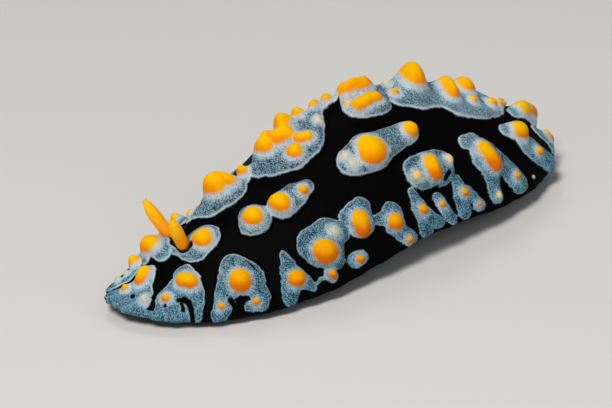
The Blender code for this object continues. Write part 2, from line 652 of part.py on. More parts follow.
def add_rhinophores(head, material, home, cutters):
    """Two ringed feelers, each in a pit cut into the head."""
    for name, (station, across, forward, outward, length) in RHINOPHORES.items():
        root, axis = rhinophore_frame(station, across, forward, outward)
        turned(name, rhinophore_profile(length), ROUND_STEPS, material, home, root, axis)
        narrow = STALK_RADIUS + GAP
        wide = narrow + PIT_FLARE
        pit = [(0.0, CUTTER_TOP), (wide, CUTTER_TOP), (narrow, -PIT_DEPTH), (0.0, -PIT_DEPTH)]
        cutter = turned(f"pit_{name}", pit, ROUND_STEPS, material, cutters, root, axis)
        cutter.hide_render = True
        cutter.display_type = "WIRE"
        cut = head.modifiers.new(f"pit_{name}", "BOOLEAN")
        cut.object = cutter
        cut.operation = "DIFFERENCE"
        cut.solver = "MANIFOLD"


def add_mouth(material, home, cutters):
    """A small bulb before the foot with the slit of the mouth, and a feeler on each side of it."""
    half_long, half_wide = MOUTH_SIZE
    tip_height = edge_height(-HALF_LENGTH)
    roof = float(underside(MOUTH_AT, 0.0, -MOUTH_AT / HALF_LENGTH, tip_height)) - GAP
    centre = Vector((MOUTH_AT, 0.0, (MOUTH_FLOOR + roof) / 2.0))
    half_high = (roof - MOUTH_FLOOR) / 2.0
    bulb = bmesh.new()
    stretch = Matrix.Diagonal((half_long, half_wide, half_high, 1.0))
    bmesh.ops.create_uvsphere(bulb, u_segments=14, v_segments=9, radius=1.0,
                              matrix=Matrix.Translation(centre) @ stretch)
    mouth = add_object("mouth", finished(bulb, "mouth"), material, home)
    slit = bmesh.new()
    add_box(slit, centre - Vector((half_long, 0.0, 0.0)), SLIT_SIZE)
    cutter = add_object("mouth_slit", finished(slit, "mouth_slit"), material, cutters)
    cutter.hide_render = True
    cutter.display_type = "WIRE"
    cut = mouth.modifiers.new("slit", "BOOLEAN")
    cut.object = cutter
    cut.operation = "DIFFERENCE"
    profile = [
        (0.0, TENTACLE_LENGTH), (TENTACLE_RADIUS * 0.45, TENTACLE_LENGTH - 0.1),
        (TENTACLE_RADIUS * 0.85, TENTACLE_LENGTH * 0.6), (TENTACLE_RADIUS, TENTACLE_LENGTH * 0.2),
        (TENTACLE_RADIUS, 0.0), (0.0, 0.0),
    ]
    for name, side in (("oral_tentacle_left", -1.0), ("oral_tentacle_right", 1.0)):
        axis = Vector((TENTACLE_LEAN[0], side * TENTACLE_LEAN[1], 0.0)).normalized()
        root = centre + Vector((0.1, side * (half_wide + GAP + 0.8 * TENTACLE_RADIUS), -0.15))
        turned(name, profile, 12, material, home, root, axis)


def add_vent(tail, material, home, cutters):
    """The short tube of the vent, which opens on the back near the tail."""
    station, across = VENT_AT
    root = Vector(back([station], [across])[0])
    axis = Vector(back_normals(np.array([station]), np.array([across]))[0])
    inner = VENT_RADIUS * 0.45
    profile = [
        (0.0, VENT_HEIGHT * 0.4), (inner * 0.8, VENT_HEIGHT * 0.4), (inner, VENT_HEIGHT),
        (VENT_RADIUS * 0.8, VENT_HEIGHT), (VENT_RADIUS, VENT_HEIGHT * 0.8), (VENT_RADIUS, 0.0),
        (0.0, 0.0),
    ]
    turned("vent", profile, 12, material, home, root, axis)
    wide = VENT_RADIUS + GAP
    seat = [(0.0, CUTTER_TOP), (wide, CUTTER_TOP), (wide, -GAP), (0.0, -GAP)]
    cutter = turned("vent_seat", seat, 12, material, cutters, root, axis)
    cutter.hide_render = True
    cutter.display_type = "WIRE"
    cut = tail.modifiers.new("vent_seat", "BOOLEAN")
    cut.object = cutter
    cut.operation = "DIFFERENCE"
    cut.solver = "MANIFOLD"


def flesh(name, colour, roughness):
    material = bpy.data.materials.new(name)
    material.use_nodes = True
    shader = material.node_tree.nodes["Principled BSDF"]
    shader.inputs["Base Color"].default_value = (*colour, 1.0)
    shader.inputs["Roughness"].default_value = roughness
    shader.inputs["Metallic"].default_value = 0.0
    return material


def build():
    for obj in list(bpy.data.objects):
        bpy.data.objects.remove(obj)
    home = bpy.data.collections.new("sea_slug")
    cutters = bpy.data.collections.new("cutters")
    bpy.context.scene.collection.children.link(home)
    bpy.context.scene.collection.children.link(cutters)
    mantle_skin = flesh("mantle skin", (0.16, 0.22, 0.27), 0.45)
    under_skin = flesh("foot skin", (0.09, 0.1, 0.12), 0.5)
    yellow = flesh("yellow skin", (0.95, 0.5, 0.02), 0.4)
    mantle = add_mantle(mantle_skin, home)
    add_foot(under_skin, home)
    add_rhinophores(mantle["head"], yellow, home, cutters)
    add_mouth(under_skin, home, cutters)
    add_vent(mantle["tail"], yellow, home, cutters)


build()
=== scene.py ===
# %% [markdown]
# # A warty sea slug, life size
# This small slug lives on reefs. A thick cloak, the mantle, covers its whole back like a turtle's
# shell, and under it hide the foot, the mouth and the gills. The skin is matt black, with pale
# blue-grey patches that swell out of it, and on the patches stand round yellow knobs. Two ringed
# feelers, the rhinophores, rise from pits in the head. The CAD model is the fixed frame: it gives
# the size, the pose and where each part sits. Here one fine skin takes the place of its solids.

# %% Load the frame
import math
import random

import bmesh
import bpy
import numpy as np
from mathutils import Matrix, Vector


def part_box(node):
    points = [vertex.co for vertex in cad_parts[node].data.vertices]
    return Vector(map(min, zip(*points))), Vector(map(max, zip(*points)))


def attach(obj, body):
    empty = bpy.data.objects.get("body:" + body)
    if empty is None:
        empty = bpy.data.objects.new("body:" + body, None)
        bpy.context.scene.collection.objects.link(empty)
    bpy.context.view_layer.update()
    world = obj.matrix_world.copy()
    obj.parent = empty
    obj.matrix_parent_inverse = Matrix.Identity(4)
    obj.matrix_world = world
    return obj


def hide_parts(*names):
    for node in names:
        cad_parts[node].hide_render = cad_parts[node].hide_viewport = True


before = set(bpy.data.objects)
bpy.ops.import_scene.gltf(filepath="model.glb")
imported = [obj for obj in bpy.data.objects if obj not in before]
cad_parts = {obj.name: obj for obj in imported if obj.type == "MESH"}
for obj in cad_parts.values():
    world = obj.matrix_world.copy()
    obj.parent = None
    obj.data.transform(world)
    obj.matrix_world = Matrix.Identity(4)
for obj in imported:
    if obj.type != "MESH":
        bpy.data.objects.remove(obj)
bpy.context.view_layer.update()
MM = 0.001


def short(values):
    """Numbers short enough to print."""
    return [round(float(v), 2) for v in values]


# %% [markdown]
# ## The shape of the back
# Every mark on this animal is placed by two numbers: how many millimetres along the body it is, and
# how far across, as a share of the way from the ridge to the mantle's edge, plus on the left side.
# One function turns such a place into a point of the back. The head points to -X, and the left side
# to -Y. Seen from above, the outline is a rounded oval, a little narrower at the tail. The ridge
# slopes gently to the head, drops steeply to the tail and has a low hump in between. Seen along the
# body, the section is a dome with a slight roof to it.

# %% The outline, the ridge and the section
HALF_LENGTH = 25.0
HALF_WIDTH = 12.2
TAIL_NARROWING = 0.07
OUTLINE_POWER = 2.3
OUTLINE_ROUNDNESS = 0.52
BACK_HEIGHT = 11.6
HUMP_HEIGHT = 1.3
HUMP_AT = 3.0
HUMP_LENGTH = 7.5
HEAD_SLOPE = 1.7
TAIL_SLOPE = 2.9
TAIL_ROUNDNESS = 0.8
DOME_POWER = 2.2
DOME_ROUNDNESS = 0.8
ROOF_POWER = 1.15
ROOF_SHARE = 0.38


def ease(t):
    """A smooth step from 0 to 1 as t goes from 0 to 1."""
    t = np.clip(t, 0.0, 1.0)
    return t * t * (3.0 - 2.0 * t)


def half_width(x):
    c = np.clip(x / HALF_LENGTH, -1.0, 1.0)
    rounded = (1.0 - np.abs(c) ** OUTLINE_POWER) ** OUTLINE_ROUNDNESS
    return HALF_WIDTH * (1.0 - TAIL_NARROWING * c) * rounded


def ridge(x):
    """Height of the ridge over the mantle's edge, as a share of BACK_HEIGHT."""
    c = np.clip(x / HALF_LENGTH, -1.0, 1.0)
    to_head = 1.0 - np.clip(-c, 0.0, 1.0) ** HEAD_SLOPE
    to_tail = (1.0 - np.clip(c, 0.0, 1.0) ** TAIL_SLOPE) ** TAIL_ROUNDNESS
    hump = HUMP_HEIGHT / BACK_HEIGHT * np.exp(-(((x - HUMP_AT) / HUMP_LENGTH) ** 2))
    return np.where(c < 0.0, to_head, to_tail) + hump * (1.0 - np.abs(c) ** 4)


def flank(across):
    """Height across the body: 1 on the ridge and 0 at the edge."""
    a = np.clip(np.abs(across), 0.0, 1.0)
    dome = (1.0 - a**DOME_POWER) ** DOME_ROUNDNESS
    roof = 1.0 - a**ROOF_POWER
    return (1.0 - ROOF_SHARE) * dome + ROOF_SHARE * roof


print("outline is", 2 * HALF_LENGTH, "by", 2 * HALF_WIDTH, "mm")

# %% [markdown]
# The mantle's edge lies a little higher at the tail and at the very front, and it is trimmed back a
# bit about the middle. The animal turns its head a little, so the head's right side is narrower and
# steeper than its left. The crest is pressed down slightly, and for the normals it is taken as
# round, or the knobs on it would gape.

# %% The back as a surface
EDGE_HEIGHT_HEAD = 0.7
EDGE_HEIGHT_TAIL = 1.6
TIP_STARTS = -19.0
TIP_RISE = 0.7
TIP_LONGER = 0.5
EDGE_TRIM = 0.052
TRIM_AT = 4.0
TRIM_LENGTH = 10.5
RIGHT_BEND = 15.0
RIGHT_NARROWER = 0.22
RIGHT_LOWER = 0.16
CREST_LOWER = 0.047
CREST_WIDTH = 0.3
ROUND_CREST = 0.2


def tip_share(x):
    """How far into the head's tip x lies, from 0 to 1."""
    return np.clip((TIP_STARTS - x) / (HALF_LENGTH + TIP_STARTS), 0.0, 1.0) ** 2


def edge_height(x):
    rise = ease((x / HALF_LENGTH + 1.0) / 2.0)
    return EDGE_HEIGHT_HEAD + (EDGE_HEIGHT_TAIL - EDGE_HEIGHT_HEAD) * rise + TIP_RISE * tip_share(x)


def edge_share(x):
    """Where the mantle ends, as a share of the way across."""
    return 1.0 - EDGE_TRIM * np.exp(-(((x - TRIM_AT) / TRIM_LENGTH) ** 2))


def right_bend(x, across):
    """How much the head's right side is drawn in, from 0 to 1."""
    return ease(-x / RIGHT_BEND) * (across < 0.0)


def side_width(x, across):
    """Half the mantle's width on the side that across lies on."""
    return half_width(x) * (1.0 - RIGHT_NARROWER * right_bend(x, across))


def back(x, across):
    """The point of the smooth back at a place, in millimetres."""
    x = np.asarray(x, float)
    across = np.asarray(across, float)
    drop = RIGHT_LOWER * right_bend(x, across) * np.sin(math.pi * np.abs(across))
    drop = drop + CREST_LOWER * np.exp(-((across / CREST_WIDTH) ** 2))
    z = edge_height(x) + BACK_HEIGHT * ridge(x) * (flank(across) - drop)
    y = -across * side_width(x, across)
    return np.stack(np.broadcast_arrays(x - TIP_LONGER * tip_share(x), y, z), -1)


def back_normals(x, across):
    """Which way the back faces, with the crest taken as round."""
    small = 1e-3
    inside = np.clip(across, small - 1.0, 1.0 - small)
    reach = small + ROUND_CREST * np.exp(-((across / ROUND_CREST) ** 2))
    along = back(x + small, inside) - back(x - small, inside)
    over = back(x, inside + reach) - back(x, inside - reach)
    normals = np.cross(over, along)
    normals /= np.maximum(np.linalg.norm(normals, axis=-1, keepdims=True), 1e-9)
    return normals * np.where(normals[..., 2:] < 0.0, -1.0, 1.0)


print("ridge stands", round(float(back(HUMP_AT, 0.0)[2]), 2), "mm over the floor")

# %% [markdown]
# ## The foot under it
# The foot is a long oval pad, narrower than the mantle. Between the two runs a groove, where the
# gills hang. The underside is part of the same skin: from the mantle's edge in to the foot, down
# its wall, out over its thin flange and in again along the flat sole. The four stops say where on
# that way the groove ends, the wall ends, the flange is widest and the sole begins.

# %% The foot and the underside
FOOT_FRONT = -19.0
FOOT_BACK = 22.4
FOOT_HALF_WIDTH = 6.6
FOOT_TOP = 2.9
FLANGE_HEIGHT = 0.35
FOOT_MIDDLE = (FOOT_FRONT + FOOT_BACK) / 2.0
FOOT_HALF = (FOOT_BACK - FOOT_FRONT) / 2.0
WALL_STOPS = (0.5, 0.62, 0.68, 0.72)
WALL_REACH = 0.93
SOLE_REACH = 0.97
WALL_FOOT = 0.12
EDGE_DROP = 0.4
LIP_SHARE = 0.12
LIP_FALL = 0.5


def ceiling(x, y):
    """Height of the mantle's underside over the foot, half of the back's at most."""
    across = -y / np.maximum(side_width(x, -y), 1e-6)
    return np.minimum(FOOT_TOP, 0.5 * back(x, np.clip(across, -1.0, 1.0))[..., 2])


def underside(turn, share):
    """Points from the mantle's edge, at share 0, to the middle of the sole, at share 1."""
    rim_x = HALF_LENGTH * np.cos(turn)
    rim = back(rim_x, -edge_share(rim_x) * np.sign(np.sin(turn)))
    rim_x, rim_y, start = rim[..., 0], rim[..., 1], rim[..., 2]
    reaches = (WALL_REACH, WALL_REACH, WALL_REACH, 1.0, SOLE_REACH, 0.0)
    reach = np.interp(share, (0.0, *WALL_STOPS, 1.0), reaches)
    foot_x = FOOT_MIDDLE + FOOT_HALF * reach * np.cos(turn)
    foot_y = FOOT_HALF_WIDTH * reach * np.sin(turn)
    t = np.clip(share / WALL_STOPS[0], 0.0, 1.0)
    x = rim_x + (foot_x - rim_x) * t
    y = rim_y + (foot_y - rim_y) * t
    lip = ease(t / LIP_SHARE) * (1.0 - ease((t - LIP_SHARE) / LIP_FALL))
    high = ceiling(foot_x, foot_y)
    groove = start - EDGE_DROP * lip + (high - start) * ease((t - 0.1) / 0.85)
    down_wall = np.interp(share, WALL_STOPS, (1.0, WALL_FOOT, 0.0, -1.0))
    on_wall = FLANGE_HEIGHT + (high - FLANGE_HEIGHT) * down_wall
    on_flange = FLANGE_HEIGHT * (1.0 + down_wall)
    wall = np.where(down_wall >= 0.0, on_wall, on_flange)
    return np.stack([x, y, np.where(share <= WALL_STOPS[0], groove, wall)], -1)


print("foot is", round(2 * FOOT_HALF, 1), "by", 2 * FOOT_HALF_WIDTH, "mm")

# %% [markdown]
# ## Patches and knobs from the photograph
# A patch is drawn with a few strokes, like a felt pen's: a chain of places, each with the pen's
# radius there in millimetres. How far the patch swells stands before them, and its knobs after
# them. A long knob has a second place, where it ends. Most caps are yellow, tone 1, and a few small
# ones are cream or white, down to tone 0. The same lists shape the CAD solids.

# %% Patches along the ridge


def knob(x, across, radius, height, to=None, tone=1.0):
    """One knob: where it stands and ends, its cap's radius, its height and its tone."""
    end = to or (x, across)
    return (x, across, end[0], end[1], radius, height, tone)


RIDGE_PATCHES = [
    (0.6, [[(-15.5, -0.08, 0.6), (-13.9, 0.03, 1.35), (-12.1, 0.06, 1.75), (-11.6, 0.08, 1.5)]],
     [knob(-12.3, 0.0, 1.25, 1.85), knob(-11.3, 0.05, 0.75, 1.2),
      knob(-14.1, -0.14, 0.4, 0.5, tone=0.5), knob(-15.1, -0.1, 0.35, 0.45)]),
    (0.4, [[(-9.8, 0.05, 0.7), (-10.5, 0.1, 0.35)]], [knob(-9.7, 0.03, 0.6, 0.9)]),
    (0.8, [[(-8.4, 0.1, 1.15), (-7.2, 0.11, 1.9), (-5.4, 0.15, 2.3), (-3.8, 0.15, 2.0),
       (-2.2, 0.08, 1.2)],
      [(-4.8, 0.0, 1.4), (-2.6, 0.0, 1.3), (-1.5, 0.03, 0.95), (-0.6, -0.03, 0.55), (2.6, -0.04, 0.4)]],
     [knob(-6.8, 0.03, 0.95, 1.2), knob(-6.2, 0.0, 0.65, 1.3),
      knob(-5.7, 0.05, 0.75, 1.2, to=(-4.7, 0.06)), knob(-4.1, -0.03, 0.9, 1.7),
      knob(-4.1, 0.16, 0.6, 0.75, to=(-3.6, 0.18)), knob(-5.3, 0.22, 0.75, 0.85),
      knob(-2.4, -0.05, 0.62, 1.0), knob(-0.8, -0.05, 0.58, 0.9), knob(0.6, -0.05, 0.52, 0.8),
      knob(-1.5, 0.1, 0.38, 0.4, tone=0.3)]),
    (0.8, [[(2.8, 0.12, 1.75), (4.1, 0.13, 1.95), (5.2, 0.09, 1.35)]],
     [knob(2.5, 0.0, 0.75, 1.4, to=(2.9, 0.0)), knob(3.5, 0.0, 0.9, 1.4, to=(4.3, 0.0)),
      knob(2.4, 0.165, 0.7, 0.8, to=(3.0, 0.16)), knob(3.8, 0.145, 0.62, 0.8, to=(4.3, 0.15)),
      knob(1.7, 0.1, 0.32, 0.4, tone=0.6)]),
    (0.7, [[(6.3, 0.09, 1.0), (7.4, 0.13, 1.4), (9.0, 0.16, 1.75), (10.6, 0.2, 1.2)],
      [(6.3, 0.0, 0.8), (9.0, 0.0, 1.5), (11.2, 0.03, 1.1)]],
     [knob(9.25, 0.05, 1.25, 2.4), knob(6.8, 0.12, 0.38, 0.5), knob(7.0, 0.0, 0.35, 0.5, tone=0.4)]),
    (0.7, [[(11.5, 0.2, 1.2), (13.2, 0.26, 1.95), (15.2, 0.27, 2.05), (17.0, 0.3, 1.3),
       (18.0, 0.31, 0.8)],
      [(11.8, 0.04, 1.2), (15.0, 0.08, 1.5), (17.0, 0.2, 1.1)]],
     [knob(12.9, 0.1, 0.8, 1.2, to=(12.5, 0.21)), knob(14.9, 0.1, 0.95, 1.25),
      knob(14.8, 0.27, 0.42, 0.5), knob(16.9, 0.29, 0.5, 0.6), knob(17.9, 0.28, 0.42, 0.55)]),
    (0.6, [[(19.8, 0.31, 0.6), (21.3, 0.23, 1.1), (23.0, 0.16, 0.95)]],
     [knob(20.9, 0.24, 0.85, 1.1, to=(22.4, 0.14))]),
]

# %% Patches on the head
HEAD_PATCHES = [
    (0.35, [[(-21.0, 0.06, 0.65), (-21.7, 0.12, 1.0), (-22.6, 0.3, 1.05), (-23.2, 0.52, 1.05)],
      [(-23.3, 0.1, 1.1), (-24.0, 0.4, 1.0), (-23.9, 0.8, 0.75)],
      [(-24.7, -0.3, 0.6), (-24.7, 0.4, 0.8), (-24.4, 0.75, 0.6)],
      [(-22.6, 0.13, 0.75), (-23.4, 0.02, 0.85), (-24.2, -0.5, 0.65)]],
     [knob(-21.4, 0.07, 0.62, 0.75, to=(-22.1, 0.15)), knob(-23.3, 0.03, 0.38, 0.4),
      knob(-22.9, 0.55, 0.38, 0.65, tone=0.2)]),
    (0.5, [[(-18.8, -0.25, 1.15), (-19.0, -0.1, 1.3), (-19.3, 0.0, 1.1)],
      [(-19.2, -0.2, 1.2), (-19.8, -0.2, 1.1)]], [knob(-19.15, -0.17, 1.12, 1.65)]),
    (0.35, [[(-20.4, -0.47, 0.85), (-21.2, -0.36, 0.8), (-22.1, -0.35, 0.8), (-23.1, -0.6, 0.55),
       (-23.7, -0.85, 0.45)]],
     [knob(-20.7, -0.43, 0.7, 1.05), knob(-21.9, -0.46, 0.36, 0.5, tone=0.0),
      knob(-22.7, -0.58, 0.36, 0.5, tone=0.0)]),
    (0.5, [[(-16.1, 0.28, 1.6), (-16.8, 0.29, 1.6)],
      [(-17.3, 0.4, 0.55), (-17.9, 0.36, 0.42), (-18.4, 0.28, 0.3), (-18.6, 0.15, 0.22),
       (-18.5, 0.05, 0.16)]], [knob(-16.2, 0.31, 0.95, 0.95)]),
    (0.5, [[(-15.3, -0.3, 0.75), (-14.9, -0.45, 0.75)]], [knob(-15.3, -0.42, 0.62, 1.0)]),
]

# %% Patches on the left flank
LEFT_PATCHES = [
    (0.4, [[(-19.3, 0.46, 1.1), (-19.6, 0.56, 1.45), (-19.6, 0.67, 1.3), (-19.9, 0.79, 1.0),
       (-20.4, 0.94, 0.7)],
      [(-20.4, 0.57, 1.2), (-21.7, 0.68, 1.15), (-22.1, 0.82, 1.35), (-22.3, 0.95, 0.9)],
      [(-23.8, 0.88, 0.5), (-22.9, 0.96, 0.5), (-21.6, 0.96, 0.6), (-21.0, 0.99, 0.4)]],
     [knob(-19.6, 0.545, 0.74, 0.95, to=(-19.2, 0.6)), knob(-21.6, 0.66, 0.42, 0.5)]),
    (0.85, [[(-11.8, 0.435, 1.65)]], [knob(-11.85, 0.445, 0.9, 1.0)]),
    (0.85, [[(-9.1, 0.475, 1.4), (-7.5, 0.46, 1.3), (-6.4, 0.46, 0.9)]],
     [knob(-9.25, 0.47, 0.98, 1.0), knob(-6.8, 0.48, 0.45, 0.6)]),
    (0.9, [[(-1.3, 0.485, 1.5), (0.6, 0.485, 2.05), (2.7, 0.475, 1.5), (4.2, 0.465, 1.25),
       (5.4, 0.46, 1.15)]],
     [knob(0.6, 0.495, 1.35, 1.1), knob(5.4, 0.465, 0.8, 0.85), knob(-1.8, 0.45, 0.35, 0.4, tone=0.3),
      knob(-1.5, 0.51, 0.4, 0.45, tone=0.15)]),
    (0.5, [[(-15.6, 0.66, 1.4), (-15.2, 0.76, 1.8)],
      [(-16.3, 0.74, 1.45), (-17.6, 0.85, 1.0), (-18.5, 0.95, 0.85)],
      [(-14.7, 0.81, 1.2), (-14.7, 0.9, 1.0)], [(-15.9, 0.95, 0.6), (-14.9, 0.95, 0.7)]],
     [knob(-15.7, 0.785, 1.03, 1.05), knob(-18.1, 0.905, 0.3, 0.4, tone=0.9),
      knob(-15.3, 0.935, 0.33, 0.35)]),
    (0.35, [[(-11.2, 0.735, 0.4), (-11.3, 0.82, 0.85), (-11.7, 0.91, 1.05), (-12.3, 0.97, 0.75)],
      [(-11.2, 0.86, 0.95), (-10.7, 0.91, 0.85), (-9.9, 0.955, 0.45)],
      [(-9.4, 0.945, 0.22), (-8.9, 0.93, 0.2)]], [knob(-11.15, 0.893, 0.78, 0.75)]),
    (0.8, [[(-8.2, 0.75, 1.35), (-6.6, 0.745, 1.4), (-5.7, 0.77, 1.1)],
      [(-8.6, 0.76, 1.35), (-8.2, 0.82, 1.45)], [(-6.9, 0.79, 1.5), (-7.3, 0.87, 1.25)],
      [(-7.9, 0.93, 0.75)]],
     [knob(-7.8, 0.83, 1.12, 1.15), knob(-6.2, 0.765, 0.5, 0.55, tone=0.1),
      knob(-7.9, 0.93, 0.4, 0.4)]),
    (0.5, [[(-3.9, 0.74, 1.1), (-3.3, 0.73, 1.2), (-3.3, 0.79, 1.3)],
      [(-2.6, 0.72, 1.0), (-2.8, 0.78, 1.05)]], [knob(-3.3, 0.765, 0.76, 0.7, to=(-3.4, 0.815))]),
    (0.35, [[(-5.0, 0.915, 0.85), (-4.4, 0.915, 0.7)]], [knob(-4.7, 0.92, 0.42, 0.45)]),
    (0.45, [[(-1.6, 0.8, 0.45), (-0.4, 0.82, 1.0)], [(0.2, 0.805, 1.0), (0.0, 0.865, 1.15)],
      [(0.5, 0.9, 0.9), (1.2, 0.935, 0.75)]],
     [knob(-0.1, 0.85, 0.78, 0.75), knob(0.75, 0.93, 0.35, 0.35)]),
    (0.9, [[(4.7, 0.69, 1.75), (6.7, 0.7, 1.9)]],
     [knob(5.6, 0.675, 0.78, 0.95, to=(5.6, 0.72)), knob(3.8, 0.705, 0.42, 0.45, tone=0.6),
      knob(8.0, 0.68, 0.45, 0.45, tone=0.4)]),
    (0.35, [[(3.0, 0.76, 0.4), (3.2, 0.83, 0.75), (3.1, 0.93, 0.75)],
      [(3.4, 0.86, 0.75), (4.6, 0.92, 0.65)]], [knob(3.3, 0.85, 0.47, 0.5)]),
    (0.3, [[(5.5, 0.83, 0.55), (5.7, 0.87, 0.65), (6.2, 0.93, 0.6)]], [knob(5.6, 0.86, 0.32, 0.3)]),
    (0.4, [[(8.3, 0.79, 0.7), (8.2, 0.86, 1.05), (7.9, 0.925, 0.8)],
      [(8.9, 0.86, 0.95), (9.8, 0.92, 0.75)]],
     [knob(8.4, 0.85, 0.42, 0.5), knob(9.7, 0.92, 0.25, 0.25)]),
    (0.6, [[(11.2, 0.6, 0.8), (12.3, 0.62, 1.15), (12.7, 0.7, 1.8), (12.7, 0.79, 1.35),
       (12.4, 0.86, 0.95), (12.1, 0.925, 0.8)],
      [(13.4, 0.7, 1.3), (14.7, 0.81, 1.2), (15.6, 0.91, 1.3)]],
     [knob(12.4, 0.685, 0.83, 1.1, to=(12.8, 0.775)), knob(15.3, 0.88, 0.4, 0.45),
      knob(12.2, 0.92, 0.3, 0.25, tone=0.5)]),
    (0.6, [[(16.9, 0.56, 0.7), (18.2, 0.6, 1.15), (19.0, 0.7, 1.3), (20.2, 0.82, 1.4),
       (21.4, 0.92, 1.3)]], [knob(18.2, 0.6, 1.0, 1.0), knob(19.8, 0.8, 0.45, 0.5)]),
    (0.4, [[(22.2, 0.5, 0.6), (23.3, 0.56, 0.85), (24.0, 0.68, 0.8), (23.7, 0.86, 0.7)]],
     [knob(23.6, 0.52, 0.5, 0.55, to=(24.0, 0.62))]),
    (0.1, [[(18.3, 0.94, 0.28)]], [knob(18.3, 0.94, 0.18, 0.2, tone=0.0)]),
]

# %% [markdown]
# ## The side that doesn't show
# A real slug's two sides are alike but never equal. So the right side repeats the left one's
# patches, but for the first two, with small seeded shifts. They lie nearer to the edge and are
# flatter, because nothing of them shows past the ridge in the photograph.

# %% The right side's patches
RIGHT_SEED = 32
RIGHT_SHIFT = 0.7
RIGHT_SIZES = (0.88, 1.08)
RIGHT_DOWN = 0.35
RIGHT_FLAT = 0.8
FLATTER = 0.6
FRONT_ENDS = -5.0
HIGH_ROW = 0.6
OWN_RIGHT = 2


def over(across):
    """A left place's share across, on the right side and nearer to the edge."""
    return -(across + RIGHT_DOWN * (1.0 - across))


def on_right(patches):
    """The left side's patches as the hidden right side has them."""
    draw = random.Random(RIGHT_SEED)
    mirrored = []
    for swell, strokes, knobs in patches:
        shift = draw.uniform(-RIGHT_SHIFT, RIGHT_SHIFT)
        size = draw.uniform(*RIGHT_SIZES)
        x, a, _ = strokes[0][0]
        flat = RIGHT_FLAT * (FLATTER if x < FRONT_ENDS else 1.0) * (FLATTER if a < HIGH_ROW else 1.0)
        mirrored.append(
            (swell * flat,
             [[(x + shift, over(a), r * size) for x, a, r in stroke] for stroke in strokes],
             [(x + shift, over(a), end + shift, over(b), r * size, h * flat, tone)
              for x, a, end, b, r, h, tone in knobs])
        )
    return mirrored


ALL_PATCHES = RIDGE_PATCHES + HEAD_PATCHES + LEFT_PATCHES + on_right(LEFT_PATCHES[OWN_RIGHT:])
print(len(ALL_PATCHES), "patches with", sum(len(knobs) for _, _, knobs in ALL_PATCHES), "knobs")

# %% [markdown]
# Some patches have black marks inside: a hook, a crescent, a few notches where the pale colour
# stops short. The crescent and the mark at the left rhinophore's pit are partly painted shade.
# They are strokes too, from one place to another with one radius.

# %% Black marks inside patches
BLACK_MARKS = [
    (-20.9, 0.27, -21.4, 0.37, 0.3), (-21.4, 0.37, -22.3, 0.54, 0.24),
    (-22.3, 0.54, -23.0, 0.74, 0.12), (-23.4, 0.32, -23.4, 0.32, 0.27),
    (-20.9, 0.72, -20.5, 0.73, 0.2), (-20.5, 0.73, -20.3, 0.79, 0.3),
    (-20.3, 0.79, -20.5, 0.88, 0.28), (-20.5, 0.88, -20.8, 0.99, 0.25),
    # The second mark here lies at the left rhinophore's pit: black skin and painted shade.
    (-22.0, 0.76, -22.0, 0.76, 0.2), (-17.8, 0.25, -17.3, 0.26, 0.34),
    # The first mark here is a crescent at the foot of a knob's mound, partly painted shade.
    (-14.2, 0.7, -14.05, 0.75, 0.12), (-17.3, 0.84, -17.3, 0.84, 0.13),
    (-17.2, 0.88, -16.9, 0.98, 0.28), (-16.7, 0.885, -16.1, 0.89, 0.16),
    (7.4, 0.74, 6.6, 0.765, 0.24), (5.2, 0.785, 5.8, 0.785, 0.15),
    (13.7, 0.87, 13.5, 0.97, 0.27), (14.6, 0.74, 14.3, 0.79, 0.09),
    (8.9, 0.91, 8.8, 0.97, 0.16),
]

# %% [markdown]
# ## One skin for the whole body
# The skin starts as a cube cut into even squares and blown up to a ball. Its upper part becomes the
# back, and the rest the underside. A ball of squares has no crowded pole, so all of the back gets
# points about a seventh of a millimetre apart, fine enough for the smallest knob. From its place on
# the smooth back each point then moves out by the height of the patch and the knobs.

# %% The ball of squares
SKIN_CUTS = 127
TOP_SHARE = 0.72
ball = bmesh.new()
bmesh.ops.create_cube(ball, size=2.0)
bmesh.ops.subdivide_edges(ball, edges=ball.edges[:], cuts=SKIN_CUTS, use_grid_fill=True)
corners = np.tan(np.array([vert.co[:] for vert in ball.verts]) * math.pi / 4.0)
corners /= np.linalg.norm(corners, axis=1, keepdims=True)
down = np.arccos(np.clip(corners[:, 2], -1.0, 1.0)) / math.pi
turn = np.arctan2(corners[:, 1], corners[:, 0])
on_top = down < TOP_SHARE
out = np.sin(np.clip(down / TOP_SHARE, 0.0, 1.0) * math.pi / 2.0)
station = out * HALF_LENGTH * np.cos(turn)
rim_x = HALF_LENGTH * np.cos(turn)
rim_y = edge_share(rim_x) * half_width(rim_x) * np.sign(np.sin(turn))
across = np.clip(-out * rim_y / np.maximum(half_width(station), 1e-6), -1.0, 1.0)
smooth_back = back(station, across)
normals = back_normals(station, across)
print("skin has", len(corners), "points,", int(on_top.sum()), "of them on the back")

# %% [markdown]
# ## How deep inside a patch
# For every point of the skin, the distance to each stroke says how deep inside a patch it lies, in
# millimetres, and less than 0 outside. A few slow waves make the outlines wander. Distances to the
# knobs say where the caps are. All are kept on the mesh too, so that the colours follow the relief.

# %% Distances and unevenness
FAR = -9.0
LUMP_WAVES = 6


def to_segment(points, start, end):
    """Distance from every point to one segment, and how far along the segment it is met."""
    run = end - start
    length2 = max(float(run @ run), 1e-12)
    t = np.clip((points - start) @ run / length2, 0.0, 1.0)
    return np.linalg.norm(points - start - t[:, None] * run, axis=1), t


def lumps(points, size):
    """Smooth unevenness from about -1 to 1, its lumps about size millimetres apart."""
    draw = random.Random(3)
    total = np.zeros(len(points))
    for _ in range(LUMP_WAVES):
        way = Vector((draw.gauss(0, 1), draw.gauss(0, 1), draw.gauss(0, 1))).normalized()
        total += np.sin(points @ np.array(way) * (2.0 * math.pi / size) + draw.uniform(0.0, 6.0))
    return total / (LUMP_WAVES / 2.0)


